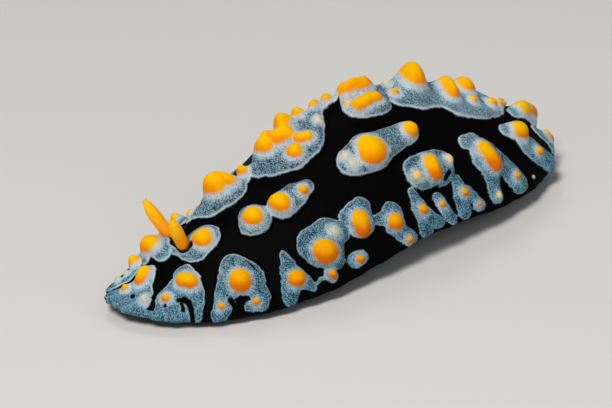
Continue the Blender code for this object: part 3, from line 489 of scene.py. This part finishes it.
def stroke_depth(points, strokes):
    depth = np.full(len(points), FAR)
    for stroke in strokes:
        chain = stroke if len(stroke) > 1 else stroke * 2
        places = back([p[0] for p in chain], [p[1] for p in chain])
        for a, b, place_a, place_b in zip(chain, chain[1:], places, places[1:]):
            away, t = to_segment(points, place_a, place_b)
            depth = np.maximum(depth, a[2] + (b[2] - a[2]) * t - away)
    return depth


# %% The patches' relief
PILLOW_STARTS = -0.12
PILLOW_WIDTH = 0.85
PILLOW_ROUNDNESS = 0.8
patch_depth = np.full(len(corners), FAR)
swelling = np.zeros(len(corners))
uneven = 0.09 * lumps(smooth_back, 2.1) + 0.03 * lumps(smooth_back, 0.7)
for swell, strokes, _ in ALL_PATCHES:
    depth = stroke_depth(smooth_back, strokes) + uneven
    patch_depth = np.maximum(patch_depth, depth)
    rise = np.clip((depth - PILLOW_STARTS) / PILLOW_WIDTH, 0.0, 1.0)
    swelling = np.maximum(swelling, swell * (1.0 - (1.0 - rise) ** 2) ** PILLOW_ROUNDNESS)
print("patches cover", round(100 * float((patch_depth[on_top] > 0).mean())), "% of the back's points")

# %% [markdown]
# A knob is a wide mound with a steeper dome on it, and knobs that touch are blended by adding a
# power of their heights. One more number grows inward and upward on a cap, and paints the cap's
# light and shade into its colour: lighter to the middle and top, darker lower down.

# %% The knobs' relief
MOUND_REACH = 2.0
MOUND_SHARE = 0.62
DOME_REACH = 1.15
KNOB_ROUNDNESS = 0.8
BLEND = 3.0
CAP_UNEVEN = 0.08
MIDDLE_SHARE = 0.45
UPWARD_SHARE = 0.75
cap_lumps = CAP_UNEVEN * lumps(smooth_back, 2.3)
cap_depth = np.full(len(corners), FAR)
cap_tone = np.ones(len(corners))
cap_rise = np.zeros(len(corners))
bumps = np.zeros(len(corners))
for _, _, knobs in ALL_PATCHES:
    for x, a, x2, a2, radius, height, tone in knobs:
        away, _ = to_segment(smooth_back, back(x, a), back(x2, a2))
        away = away + radius * cap_lumps
        mound = np.clip(1.0 - (away / (MOUND_REACH * radius)) ** 2, 0.0, 1.0) ** 2
        dome = np.clip(1.0 - (away / (DOME_REACH * radius)) ** 2, 0.0, 1.0) ** KNOB_ROUNDNESS
        bumps += (height * (MOUND_SHARE * mound + (1.0 - MOUND_SHARE) * dome)) ** BLEND
        nearer = radius - away > cap_depth
        cap_depth = np.where(nearer, radius - away, cap_depth)
        cap_tone = np.where(nearer, tone, cap_tone)
        # The share below paints light and shade on the caps: brighter to the middle and upper side.
        middle = 0.5 * (back(x, a) + back(x2, a2))
        upward = (smooth_back[:, 2] - middle[2]) / radius
        inward = np.clip(1.0 - away / radius, 0.0, 1.0)
        cap_rise = np.where(nearer, MIDDLE_SHARE * inward + UPWARD_SHARE * upward, cap_rise)
relief = swelling + bumps ** (1.0 / BLEND)
print("highest knob stands", round(float(relief.max()), 2), "mm over the smooth back")

# %% [markdown]
# ## Pits, black marks and the lie of the edge
# Each rhinophore stands in a pit with a low raised rim, so the skin sinks there. The black marks
# sink a little too. A rhinophore's row has its place, its lean forward and outward, and its length.

# %% Pits and black marks
RHINOPHORES = {
    "rhinophore_left": (-17.75, 0.17, 0.34, 0.12, 3.6),
    "rhinophore_right": (-17.2, -0.25, 0.34, 0.39, 4.5),
}
PIT_RADIUS = 0.72
PIT_DEPTH = 0.6
PIT_FLOOR = 0.55
PIT_WALL = 0.6
RIM_AT = 1.55
RIM_WIDTH = 0.3
RIM_HEIGHT = 0.14
MARK_DEPTH = 0.12
MARK_SLOPE = 0.25
pit_reach = np.full(len(corners), -FAR)
for x, a, *_ in RHINOPHORES.values():
    pit_reach = np.minimum(pit_reach, np.linalg.norm(smooth_back - back(x, a), axis=1))
pit = 1.0 - ease((pit_reach - PIT_FLOOR * PIT_RADIUS) / (PIT_WALL * PIT_RADIUS))
pit_rim = np.exp(-(((pit_reach - RIM_AT * PIT_RADIUS) / RIM_WIDTH) ** 2))
relief = relief * (1.0 - pit) - PIT_DEPTH * pit + RIM_HEIGHT * pit_rim
mark_depth = np.full(len(corners), FAR)
for x, a, x2, a2, radius in BLACK_MARKS:
    away, _ = to_segment(smooth_back, back(x, a), back(x2, a2))
    mark_depth = np.maximum(mark_depth, radius - away)
relief -= MARK_DEPTH * ease(mark_depth / MARK_SLOPE + 0.5)

# %% [markdown]
# The relief fades out at the mantle's edge, which waves by a tenth or two of a millimetre.

# %% The edge and all of the skin's points
WAVES = ((0.09, 23.0, 1.0), (0.07, 57.0, 2.0))
WAVE_FROM = 0.9
faded = ease((TOP_SHARE - down) / 0.05)
top_points = smooth_back + normals * (relief * faded)[:, None]
share = np.clip((down - TOP_SHARE) / (1.0 - TOP_SHARE), 0.0, 1.0)
points = np.where(on_top[:, None], top_points, underside(turn, share))
wave = sum(height * np.sin(times * turn + start) for height, times, start in WAVES)
near_edge = np.clip((out - WAVE_FROM) / (1.0 - WAVE_FROM), 0.0, 1.0) ** 2
near_edge = near_edge * np.where(on_top, 1.0, 1.0 - ease(share / 0.3))
outward = np.stack([np.cos(turn), np.sin(turn), np.zeros(len(turn))], -1)
points += outward * (wave * near_edge)[:, None]
print("skin is", short(np.ptp(points, axis=0)), "mm")

# %% [markdown]
# The points go back into the mesh, with the depths beside them. The way_down attribute holds each
# point's way down the flank in millimetres: the fine dark streaks on the patches run that way.

# %% The skin as an object
DEEPEST = 3.0
FLANK_STEEPNESS = 1.25


def new_piece(name, mesh):
    """A finished bmesh in millimetres becomes an object in metres, at the origin."""
    data = bpy.data.meshes.new(name)
    mesh.to_mesh(data)
    mesh.free()
    data.transform(Matrix.Scale(MM, 4))
    data.shade_smooth()
    piece = bpy.data.objects.new(name, data)
    bpy.context.scene.collection.objects.link(piece)
    return piece


def add_numbers(piece, name, values):
    """Keeps a number per point on a piece, for its material."""
    store = piece.data.attributes.new(name, "FLOAT", "POINT")
    store.data.foreach_set("value", np.asarray(values, np.float32))


skin = new_piece("skin", ball)
skin.data.vertices.foreach_set("co", (points * MM).astype(np.float32).ravel())
skin.data.update()
kept = {
    "patch": np.clip(np.where(on_top, patch_depth, FAR), -DEEPEST, DEEPEST),
    "cap": np.clip(np.where(on_top, cap_depth, FAR), -DEEPEST, DEEPEST),
    "cap_tone": cap_tone,
    "cap_rise": cap_rise,
    "mark": np.clip(mark_depth, -DEEPEST, DEEPEST),
    "pit": pit,
    "flank": np.abs(across),
    "way_down": np.abs(across) * half_width(station) * FLANK_STEEPNESS,
    "under": np.where(on_top, 0.0, ease(share / 0.12)),
    "sole": np.where(on_top, 0.0, ease((share - 0.45) / 0.1)),
}
for name, values in kept.items():
    add_numbers(skin, name, values)
print("skin has", len(skin.data.polygons), "squares")

# %% [markdown]
# ## Writing materials as sums
# A material is a web of nodes, but it reads best as arithmetic. This small class wraps one socket
# of a node, so that an expression such as `1 - mask * 0.5` adds the Math nodes by itself.

# %% A socket that can be added and multiplied


class Wire:
    """One output of a node. Sums and products of wires add Math nodes."""

    def __init__(self, tree, socket):
        self.tree = tree
        self.socket = socket

    def node(self, kind, settings=None, inputs=None, output=0):
        """Adds a node of a kind, with its settings and its inputs, and returns one output."""
        made = self.tree.nodes.new(kind)
        for name, value in (settings or {}).items():
            setattr(made, name, value)
        for key, value in (inputs or {}).items():
            if isinstance(value, Wire):
                self.tree.links.new(value.socket, made.inputs[key])
            else:
                made.inputs[key].default_value = value
        return Wire(self.tree, made.outputs[output])

    def sum(self, operation, *values):
        return self.node("ShaderNodeMath", {"operation": operation}, dict(enumerate(values)))

    def __add__(self, other):
        return self.sum("ADD", self, other)

    __radd__ = __add__

    def __mul__(self, other):
        return self.sum("MULTIPLY", self, other)

    __rmul__ = __mul__

    def __sub__(self, other):
        return self.sum("SUBTRACT", self, other)

    def __rsub__(self, other):
        return self.sum("SUBTRACT", other, self)

    def step(self, low, high):
        """A smooth step, 0 below low and 1 above high."""
        inputs = {"Value": self, "From Min": low, "From Max": high}
        return self.node("ShaderNodeMapRange", {"interpolation_type": "SMOOTHSTEP"}, inputs)

    def most(self, other):
        return self.sum("MAXIMUM", self, other)

    def mix(self, first, second):
        """Between two colours, with this wire as the factor."""
        inputs = {0: self, 6: as_colour(first), 7: as_colour(second)}
        return self.node("ShaderNodeMix", {"data_type": "RGBA"}, inputs, output=2)


def as_colour(value):
    return value if isinstance(value, Wire) else (*value, 1.0)


class Finish:
    """A new material, with the wires that every recipe starts from."""

    def __init__(self, name):
        self.material = bpy.data.materials.new(name)
        self.material.use_nodes = True
        self.tree = self.material.node_tree
        self.shader = self.tree.nodes["Principled BSDF"]
        start = Wire(self.tree, None)
        self.make = start.node
        place = self.make("ShaderNodeTexCoord", output=3)
        inputs = {0: place, "Scale": 1.0 / MM}
        self.place = self.make("ShaderNodeVectorMath", {"operation": "SCALE"}, inputs)

    def read(self, name):
        return self.make("ShaderNodeAttribute", {"attribute_name": name}, output=2)

    def noise(self, size, detail=2.0, roughness=0.5, at=None):
        """Noise from 0 to 1 whose blots are about size millimetres across."""
        inputs = {"Vector": at or self.place, "Scale": 1.0 / size}
        inputs |= {"Detail": detail, "Roughness": roughness}
        return self.make("ShaderNodeTexNoise", None, inputs)

    def cells(self, size):
        """Distance from the middle of the nearest cell, in cells about size millimetres across."""
        return self.make("ShaderNodeTexVoronoi", None, {"Vector": self.place, "Scale": 1.0 / size})

    def bump(self, height, depth):
        """Relief from a height of 0 to 1, depth millimetres deep."""
        inputs = {"Height": height, "Distance": depth * MM, "Strength": 1.0}
        normal = self.make("ShaderNodeBump", None, inputs)
        self.tree.links.new(normal.socket, self.shader.inputs["Normal"])

    def set(self, **values):
        """Sets the shader's sockets: base_color=..., roughness=... and so on."""
        for name, value in values.items():
            key = name.replace("_", " ").title().replace("Ior", "IOR")
            socket = self.shader.inputs[key]
            if isinstance(value, Wire):
                self.tree.links.new(value.socket, socket)
            else:
                socket.default_value = as_colour(value) if socket.type == "RGBA" else value

    def on(self, piece):
        piece.data.materials.clear()
        piece.data.materials.append(self.material)


def paint(red, green, blue):
    """A colour as a paint chart gives it, 0 to 255, turned into light."""
    shares = [c / 255.0 for c in (red, green, blue)]
    return tuple(c / 12.92 if c <= 0.04045 else ((c + 0.055) / 1.055) ** 2.4 for c in shares)


# %% [markdown]
# ## The skin's colours
# From below to above, the colours lie like this. Black skin is the ground. A patch is pale
# blue-grey, peppered with fine dark grains, and whitest round the knobs and along its edge, where
# the white is partly a painted highlight of light catching the swelling. It turns teal towards
# the mantle's edge and darker there, the darkening being painted shade on the lower flank. A cap
# is yellow on top and orange lower down, which is painted light and shade, with a soft whitish
# ring at its foot. Each border comes from a depth attribute, roughened with noise, because no
# border on a real animal is a clean line.

# %% Paints
BLACK = paint(2, 2, 3)
DARK_GREY = paint(32, 62, 78)
PALE_GREY = paint(164, 188, 200)
DARK_BLUE = paint(22, 60, 80)
PALE_BLUE = paint(134, 182, 202)
WHITE = paint(216, 227, 232)
# The caps run from yellow where painted lit to orange where painted shaded, and brown in deeper painted
# shade.
YELLOW = paint(255, 192, 0)
ORANGE = paint(232, 118, 0)
SHADE_BROWN = paint(190, 100, 4)
CREAM = paint(220, 212, 172)
UNDER_GREY = paint(120, 128, 136)
SHADE_GREY = paint(70, 76, 84)
SOLE_GREY = paint(142, 146, 150)

# %% [markdown]
# The patches' light is a sum of shares. Grains and pepper make it speckled, blots and streaks make
# it uneven. It is raised at both ends and in the rear half, as in the photograph, which is painted
# light. The share low says how far down the flank a point lies, and lower down the patches are
# darkened and their white weakened: painted shade.

# %% Colours inside the patches


def patch_colours(finish, depth, halo, low, grains, pepper):
    """The pale ground of the patches, from dark grains to white rims."""
    along = finish.make("ShaderNodeSeparateXYZ", None, {0: finish.place})
    down_flank = finish.read("way_down") * 0.25
    streak_place = finish.make("ShaderNodeCombineXYZ", None, {0: along, 1: down_flank})
    streaks = finish.noise(0.2, 3.0, 0.6, at=streak_place) - 0.5
    blots = finish.noise(0.8, 3.0, 0.6) - 0.5
    # Painted light: the patches are paler at both ends and in the rear half.
    ends = (along * along).step(150.0, 480.0)
    rear = along.step(0.0, 16.0)
    cool = (low * 0.7 + 0.28).most(ends * 0.9)
    # The white along a patch's edge is partly a painted highlight, where light catches the swelling.
    edge = 1 - depth.step(0.05, 0.26)
    rim = 1 - depth.step(0.06, 0.16)
    light = (1 - grains.step(0.15, 0.62)) * 0.62 + (pepper - 0.5) * 0.7
    # The terms with low darken the lower flank and weaken its white: painted shade.
    light = light + 0.22 + ends * 0.1 + rear * (0.16 - low * 0.08) - low * 0.06
    light = light + halo * (0.36 - low * 0.1) + edge * (0.5 - low * 0.3)
    light = (light + blots * 0.7 + streaks * 0.8).step(0.0, 1.0)
    ground = light.mix(cool.mix(DARK_GREY, DARK_BLUE), cool.mix(PALE_GREY, PALE_BLUE))
    ground = (halo * light * (0.7 - low * 0.4)).mix(ground, WHITE)
    return (rim * (0.65 - low * 0.6)).mix(ground, WHITE)


# %% Colours of the caps and of the underside


def cap_colours(finish, tone, low):
    """Yellow above and orange below, and cream where a knob's tone is low."""
    # Painted light and shade: yellow on the lit upper parts, orange lower down, more so low on the
    # flank.
    lit = finish.read("cap_rise").step(-0.6, 0.55) + (finish.noise(0.45, 3.0) - 0.5) * 0.4
    lit = (lit - low * 0.35).most(0.0)
    yellow = lit.mix(ORANGE, YELLOW)
    # Painted shade: the lower sides of caps low on the flank turn brown.
    yellow = (low * (1 - lit) * 0.5).mix(yellow, SHADE_BROWN)
    yellow = tone.step(0.5, 1.0).mix(YELLOW, yellow)
    return tone.step(0.0, 1.0).mix(CREAM, yellow)


def underneath_colours(finish):
    """Blotched grey under the mantle, and a paler sole."""
    grey = (finish.noise(1.4, 3.0) * 0.6).mix(UNDER_GREY, SHADE_GREY)
    sole = (finish.noise(2.0, 3.0) * 0.5).mix(SOLE_GREY, UNDER_GREY)
    return finish.read("sole").mix(grey, sole)


# %% The skin's material
finish = Finish("sea slug skin")
flank_share = finish.read("flank")
low = flank_share.step(0.45, 0.95)
ragged = finish.noise(0.5, 3.0) - 0.5
fine = finish.noise(0.14, 2.0) - 0.5
pepper = finish.noise(0.12, 2.0, 0.7)
grains = finish.cells(0.13)
inner = finish.read("patch") + ragged * (0.06 + flank_share * 0.25) + fine * 0.09
inside = inner.step(-0.04, 0.08)
cap = finish.read("cap") + fine * 0.08 + ragged * 0.1
halo = cap.step(-0.7, -0.1)
smooth_cap = cap.step(-0.1, 0.1)
tone = finish.read("cap_tone")
black_mark = (finish.read("mark") + fine * 0.15).step(-0.05, 0.06)
on_cap = cap.step(-0.15, 0.1) * (0.45 + tone.step(0.0, 0.5) * 0.55)

colour = inside.mix(BLACK, patch_colours(finish, inner, halo, low, grains, pepper))
colour = black_mark.mix(colour, BLACK)
colour = on_cap.mix(colour, cap_colours(finish, tone, low))
# The pit is painted black: black skin, and painted shade in the hollow.
colour = finish.read("pit").step(0.25, 0.6).mix(colour, BLACK)
colour = finish.read("under").mix(colour, underneath_colours(finish))

rough = 0.6 - smooth_cap * 0.14 - inside * 0.06 + (pepper - 0.5) * 0.15
wrinkles = finish.noise(0.3, 4.0, 0.65) * (1 - smooth_cap * 0.5)
grain_height = (1 - grains.step(0.1, 0.6)) * inside * (1 - smooth_cap)
finish.set(base_color=colour, roughness=rough, specular_ior_level=0.03)
finish.bump(wrinkles * 0.6 + grain_height * 0.5, 0.06)
finish.on(skin)
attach(skin, "root")
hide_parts("head", "back_front", "back_rear", "tail", "foot")
print("skin's material has", len(finish.tree.nodes), "nodes")

# %% [markdown]
# ## Rhinophores
# These feelers smell the water. Each is a blunt club on a short stalk, ringed with thin plates that
# lean up. A profile of the club with a small tooth for each plate is spun about its axis, and the
# feeler is then tipped as the photograph shows it.

# %% Spinning a profile


def spun(profile, steps):
    """A closed solid from a profile of (radius, height), spun about the Z axis."""
    mesh = bmesh.new()
    verts = [mesh.verts.new((radius, 0.0, height)) for radius, height in profile]
    edges = [mesh.edges.new(pair) for pair in zip(verts, verts[1:])]
    bmesh.ops.spin(
        mesh, geom=verts + edges, axis=(0, 0, 1), cent=(0, 0, 0),
        angle=2 * math.pi, steps=steps, use_merge=True,
    )
    bmesh.ops.remove_doubles(mesh, verts=mesh.verts[:], dist=1e-5)
    bmesh.ops.recalc_face_normals(mesh, faces=mesh.faces[:])
    return mesh


def stand(mesh, root, axis):
    """Tips a mesh from the Z axis to an axis and moves it to its root."""
    tilt = Vector((0.0, 0.0, 1.0)).rotation_difference(axis).to_matrix().to_4x4()
    bmesh.ops.transform(mesh, matrix=Matrix.Translation(root) @ tilt, verts=mesh.verts[:])


# %% The club and its plates
CLUB_RADIUS = 0.64
CLUB_TIP = 0.12
CLUB_NECK = 0.06
STALK_RADIUS = 0.5
STALK_SHARE = 0.1
STALK_ROOT = -0.9
PLATES = 24
PLATE_TOOTH = 0.045
SPIN_STEPS = 40


def club_radius(share):
    """Radius of the club from its tip, at 0, to its foot, at 1."""
    blunt = math.sqrt(max(0.0, 1.0 - (1.0 - min(share / CLUB_TIP, 1.0)) ** 2))
    widening = 0.7 + 0.3 * ease(share / 0.5)
    return CLUB_RADIUS * blunt * (widening - CLUB_NECK * ease((share - 0.8) / 0.2))


def rhinophore_profile(tip):
    """Radius and height from the tip down over the plates to the stalk's root."""
    foot = STALK_SHARE * tip
    pitch = (tip - CLUB_TIP - foot) / PLATES
    profile = [(0.0, tip), (club_radius(0.03), tip - 0.03)]
    for plate in range(PLATES):
        height = tip - CLUB_TIP - plate * pitch
        radius = club_radius((tip - height) / (tip - foot))
        profile.append((radius - PLATE_TOOTH, height))
        profile.append((radius, height - 0.35 * pitch))
        profile.append((radius, height - 0.6 * pitch))
    profile += [(STALK_RADIUS, foot - 0.08), (STALK_RADIUS * 0.96, foot * 0.5)]
    return profile + [(STALK_RADIUS, STALK_ROOT), (0.0, STALK_ROOT)]


# %% The rhinophores in their places
CLUB_BEND = 0.22
CLUB_RIPPLE = 0.03


def place_rhinophore(name):
    """One rhinophore, bent and rippled a little, leaning on its root."""
    x, a, forward, outward_lean, length = RHINOPHORES[name]
    side = math.copysign(1.0, a)
    root = Vector(back(x, a))
    upward = math.sqrt(1.0 - forward**2 - outward_lean**2)
    axis = Vector((-forward, -side * outward_lean, upward))
    mesh = spun(rhinophore_profile(length), SPIN_STEPS)
    for vert in mesh.verts:
        height = vert.co.z / length
        vert.co.x -= CLUB_BEND * height * (1.0 - height)
        vert.co *= 1.0 + CLUB_RIPPLE * math.sin(3.0 * vert.co.z + side)
    stand(mesh, root, axis)
    piece = new_piece(name + "_fine", mesh)
    up = np.array([(Vector(v.co) / MM - root).dot(axis) / length for v in piece.data.vertices])
    add_numbers(piece, "up_the_club", up)
    return piece


rhinophores = {name: place_rhinophore(name) for name in RHINOPHORES}
print("each rhinophore has", PLATES, "plates")

# %% [markdown]
# The feelers are orange at the foot and yellow at the tip, and dark brown at the very root, which
# is painted shade where the stalk goes into its pit. Light goes some way into such thin flesh,
# which a little subsurface scattering stands for. The weak glow of the same colour is painted
# light, which brightens the feelers where they stand in shade.

# %% The rhinophores' material
finish = Finish("rhinophore")
up = finish.read("up_the_club") + (finish.noise(0.5) - 0.5) * 0.15
colour = up.step(0.1, 0.9).mix(paint(255, 150, 0), paint(255, 184, 4))
# Painted shade: the root of the stalk, down in its pit, is dark brown.
colour = (1 - up.step(0.0, 0.07)).mix(colour, paint(90, 40, 4))
rough = 0.42 + finish.noise(0.1) * 0.12
finish.set(base_color=colour, roughness=rough, specular_ior_level=0.2)
# Painted light: a weak glow of the feeler's own colour.
finish.set(emission_color=colour, emission_strength=0.12)
finish.set(subsurface_weight=0.08, subsurface_radius=(1.0, 0.35, 0.1), subsurface_scale=0.0004)
finish.bump(finish.noise(0.12, 3.0), 0.012)
for name, piece in rhinophores.items():
    finish.on(piece)
    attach(piece, "root")
    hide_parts(name)

# %% [markdown]
# ## The mouth and its feelers
# Under the head sits a small bulb with the mouth: a short slit, as this slug has no jaws and sucks
# at sponges. A stubby feeler stands on each side. The bulb is a ball pulled to size, with the slit
# pressed in by moving its points, and each feeler is a spun cone with a groove.

# %% The mouth
mouth_low, mouth_high = (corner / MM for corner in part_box("mouth"))
mouth_middle = (mouth_low + mouth_high) / 2.0
mouth_half = (mouth_high - mouth_low) / 2.0
SLIT_WIDTH = 0.13
SLIT_DEPTH = 0.3
PUCKERS = 18.0
PUCKER_DEPTH = 0.03
mesh = bmesh.new()
bmesh.ops.create_uvsphere(mesh, u_segments=64, v_segments=40, radius=1.0)
for vert in mesh.verts:
    facing = max(0.0, -vert.co.x)
    slit = math.exp(-((vert.co.y / SLIT_WIDTH) ** 2)) * facing**2 * (1.0 - vert.co.z**2)
    pucker = math.cos(PUCKERS * math.atan2(vert.co.z, vert.co.y)) * facing**3
    vert.co *= 1.0 - SLIT_DEPTH * slit + PUCKER_DEPTH * pucker
place = Matrix.Translation(mouth_middle) @ Matrix.Diagonal((*mouth_half, 1.0))
bmesh.ops.transform(mesh, matrix=place, verts=mesh.verts[:])
mouth = new_piece("mouth_bulb", mesh)
print("mouth is", short(2.0 * mouth_half), "mm")

# %% Grey flesh


def soft_grey_finish(name, base, tip):
    """Blotched flesh between two colours, with fine dark dots."""
    finish = Finish(name)
    blots = finish.noise(0.5, 3.0)
    dots = 1 - finish.cells(0.22).step(0.1, 0.3)
    colour = blots.step(0.35, 0.65).mix(base, tip)
    colour = (dots * 0.4).mix(colour, DARK_BLUE)
    finish.set(base_color=colour, roughness=0.5 + blots * 0.1, specular_ior_level=0.35)
    finish.bump(finish.noise(0.15, 3.0), 0.02)
    return finish


soft_grey_finish("mouth skin", paint(120, 130, 140), paint(160, 170, 178)).on(mouth)
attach(mouth, "root")
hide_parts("mouth")

# %% The oral tentacles
TENTACLE_LENGTH = 1.5
TENTACLE_RADIUS = 0.4
TENTACLE_LEAN = (-0.55, 0.8)
TENTACLE_GROOVE = 0.35
TENTACLE_STATIONS = (1.0, 0.99, 0.96, 0.9, 0.8, 0.65, 0.5, 0.35, 0.2, 0.1, 0.0)
tentacle_grey = soft_grey_finish("oral tentacle skin", paint(150, 160, 168), paint(214, 186, 110))


def tentacle_radius(share):
    """Radius of a tentacle from its foot, at 0, to its round tip, at 1."""
    blunt = math.sqrt(max(0.0, 1.0 - share**2.2))
    return TENTACLE_RADIUS * blunt * (0.75 + 0.25 * (1 - share))


for name, side in (("oral_tentacle_left", -1.0), ("oral_tentacle_right", 1.0)):
    low, high = (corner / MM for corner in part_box(name))
    profile = [(tentacle_radius(share), TENTACLE_LENGTH * share) for share in TENTACLE_STATIONS]
    mesh = spun(profile + [(0.0, 0.0)], 28)
    for vert in mesh.verts:
        if vert.co.x > 0:
            vert.co.x *= 1.0 - TENTACLE_GROOVE * math.exp(-((vert.co.y / 0.1) ** 2))
    axis = Vector((TENTACLE_LEAN[0], side * TENTACLE_LEAN[1], 0.0)).normalized()
    stand(mesh, (low + high) / 2.0 - axis * TENTACLE_LENGTH / 2.0, axis)
    tentacle = new_piece(name + "_fine", mesh)
    tentacle_grey.on(tentacle)
    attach(tentacle, "root")
    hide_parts(name)
print("oral tentacles are", TENTACLE_LENGTH, "mm long")

# %% [markdown]
# ## Gill leaflets
# This family breathes with a row of soft leaflets in the groove between the foot and the mantle,
# on both sides of the body. Each is a thin triangle that hangs from the groove's roof. One small
# flattened cone, repeated with its size varied, makes them all.

# %% The gills
GILLS_PER_SIDE = 64
GILL_FIRST = -15.5
GILL_ROW = 34.0
LEAFLET_THICKNESS = 0.13
LEAFLET_REACH = (0.42, 0.56)
LEAFLET_DROP = (0.75, 0.95)
LEAFLET_TWIST = 0.12
LEAFLET_CLEAR = 0.55
gill_draw = random.Random(5)


def leaflet(mesh, x, side):
    inside = max(0.0, 1.0 - ((x - FOOT_MIDDLE) / FOOT_HALF) ** 2)
    wall = FOOT_HALF_WIDTH * WALL_REACH * math.sqrt(inside)
    reach = (float(side_width(x, -side)) - wall) * gill_draw.uniform(*LEAFLET_REACH)
    roof = float(ceiling(x, side * wall))
    drop = (roof - LEAFLET_CLEAR) * gill_draw.uniform(*LEAFLET_DROP)
    made = bmesh.ops.create_cone(
        mesh, cap_ends=True, cap_tris=False, segments=12, radius1=0.5, radius2=0.16, depth=1.0
    )["verts"]
    shape = (
        Matrix.Translation((x, side * (wall + reach * 0.35), roof - drop * 0.42))
        @ Matrix.Rotation(gill_draw.uniform(-LEAFLET_TWIST, LEAFLET_TWIST), 4, "Z")
        @ Matrix.Diagonal((LEAFLET_THICKNESS, side * reach, -drop, 1.0))
    )
    bmesh.ops.transform(mesh, matrix=shape, verts=made)


gill_mesh = bmesh.new()
for row_side in (-1.0, 1.0):
    for number in range(GILLS_PER_SIDE):
        leaflet(gill_mesh, GILL_FIRST + GILL_ROW * number / (GILLS_PER_SIDE - 1), row_side)
bmesh.ops.recalc_face_normals(gill_mesh, faces=gill_mesh.faces[:])
gills = new_piece("gill_leaflets", gill_mesh)
soft_grey_finish("gill", paint(150, 158, 164), paint(96, 104, 112)).on(gills)
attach(gills, "root")
print(2 * GILLS_PER_SIDE, "gill leaflets")

# %% [markdown]
# ## The vent
# High on the back near the tail opens a short fleshy tube, the vent. It is a spun ring with a soft
# lip, set square on the skin. Its profile has shares of the radius, and heights in millimetres.

# %% The vent
vent_low, vent_high = (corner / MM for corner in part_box("vent"))
VENT_AT = (19.0, 0.2)
VENT_RADIUS = 0.5
VENT_PROFILE = (
    (0.0, 0.25), (0.35, 0.28), (0.5, 0.6), (0.62, 0.78), (0.78, 0.8),
    (0.92, 0.68), (1.0, 0.4), (1.05, 0.0), (1.3, -0.35), (0.0, -0.35),
)
vent_axis = Vector(back_normals(np.array([VENT_AT[0]]), np.array([VENT_AT[1]]))[0])
vent_mesh = spun([(VENT_RADIUS * share, height) for share, height in VENT_PROFILE], 32)
stand(vent_mesh, Vector(back(*VENT_AT)), vent_axis)
vent = new_piece("vent_tube", vent_mesh)
soft_grey_finish("vent skin", paint(206, 186, 90), paint(180, 160, 80)).on(vent)
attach(vent, "root")
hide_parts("vent")
print("vent takes the place of a node of", short(vent_high - vent_low), "mm")

# %% [markdown]
# ## The studio
# A plain pale floor, a broad soft light from above and a weaker one from the camera's side. Black
# skin shows its shape only by what it mirrors, so the lights are large and the room is pale. The
# camera stands where the photograph was taken from: to the left of the head and a little above,
# with its horizon tipped by six degrees, as the model stands level.

# %% Floor and lights
FLOOR_SIZE = 4.0
floor_mesh = bmesh.new()
bmesh.ops.create_grid(floor_mesh, x_segments=2, y_segments=2, size=FLOOR_SIZE / 2 / MM)
floor = new_piece("floor", floor_mesh)
floor_finish = Finish("pale floor")
floor_finish.set(base_color=paint(222, 220, 216), roughness=0.8, specular_ior_level=0.2)
floor_finish.on(floor)


def seen_from(azimuth, elevation):
    """The direction from the slug to an azimuth and an elevation, in degrees."""
    a, e = math.radians(azimuth), math.radians(elevation)
    return Vector((math.sin(a) * math.cos(e), -math.cos(a) * math.cos(e), math.sin(e)))


def soft_light(name, azimuth, elevation, distance, size, watts, colour):
    """A square soft light that looks at the slug."""
    data = bpy.data.lights.new(name, "AREA")
    data.shape = "SQUARE"
    data.size = size
    data.energy = watts
    data.color = colour
    lamp = bpy.data.objects.new(name, data)
    direction = seen_from(azimuth, elevation)
    lamp.location = direction * distance
    lamp.rotation_euler = direction.to_track_quat("Z", "Y").to_euler()
    bpy.context.scene.collection.objects.link(lamp)


soft_light("key", -50, 55, 0.5, 0.16, 1.9, (1.0, 0.98, 0.95))
soft_light("fill", 20, 30, 0.6, 0.3, 0.35, (0.95, 0.97, 1.0))
soft_light("back_light", 160, 50, 0.6, 0.2, 0.5, (1.0, 1.0, 1.0))
world = bpy.data.worlds.new("room")
bpy.context.scene.world = world
world.use_nodes = True
sky = world.node_tree.nodes["Background"].inputs
sky["Color"].default_value = (0.9, 0.93, 1.0, 1.0)
sky["Strength"].default_value = 0.16

# %% The camera
IMAGE_WIDTH = 612
IMAGE_HEIGHT = 408
AZIMUTH = -30.0
ELEVATION = 26.0
ROLL = -6.0
DISTANCE = 280.0
PIXELS_PER_MM = 10.3
LOOKED_AT = Vector((0.0, 0.0, 5.5))
SEEN_AT = (333, 183)
SENSOR_WIDTH = 36.0
backwards = seen_from(AZIMUTH, ELEVATION)
level = Vector((math.cos(math.radians(AZIMUTH)), math.sin(math.radians(AZIMUTH)), 0.0))
upright = backwards.cross(level)
roll = math.radians(ROLL)
right = level * math.cos(roll) + upright * math.sin(roll)
up = upright * math.cos(roll) - level * math.sin(roll)
aim = LOOKED_AT - right * (SEEN_AT[0] - IMAGE_WIDTH / 2) / PIXELS_PER_MM
aim += up * (SEEN_AT[1] - IMAGE_HEIGHT / 2) / PIXELS_PER_MM
data = bpy.data.cameras.new("camera")
data.sensor_width = SENSOR_WIDTH
data.lens = PIXELS_PER_MM * DISTANCE / IMAGE_WIDTH * SENSOR_WIDTH
data.clip_start = 0.01
camera = bpy.data.objects.new("camera", data)
turned = Matrix((right, up, backwards)).transposed().to_4x4()
camera.matrix_world = Matrix.Translation((aim + backwards * DISTANCE) * MM) @ turned
bpy.context.scene.collection.objects.link(camera)
bpy.context.scene.camera = camera
print("camera lens", round(data.lens, 1), "mm, at", [round(v, 3) for v in camera.location])
bpy.context.scene.view_settings.view_transform = "Standard"
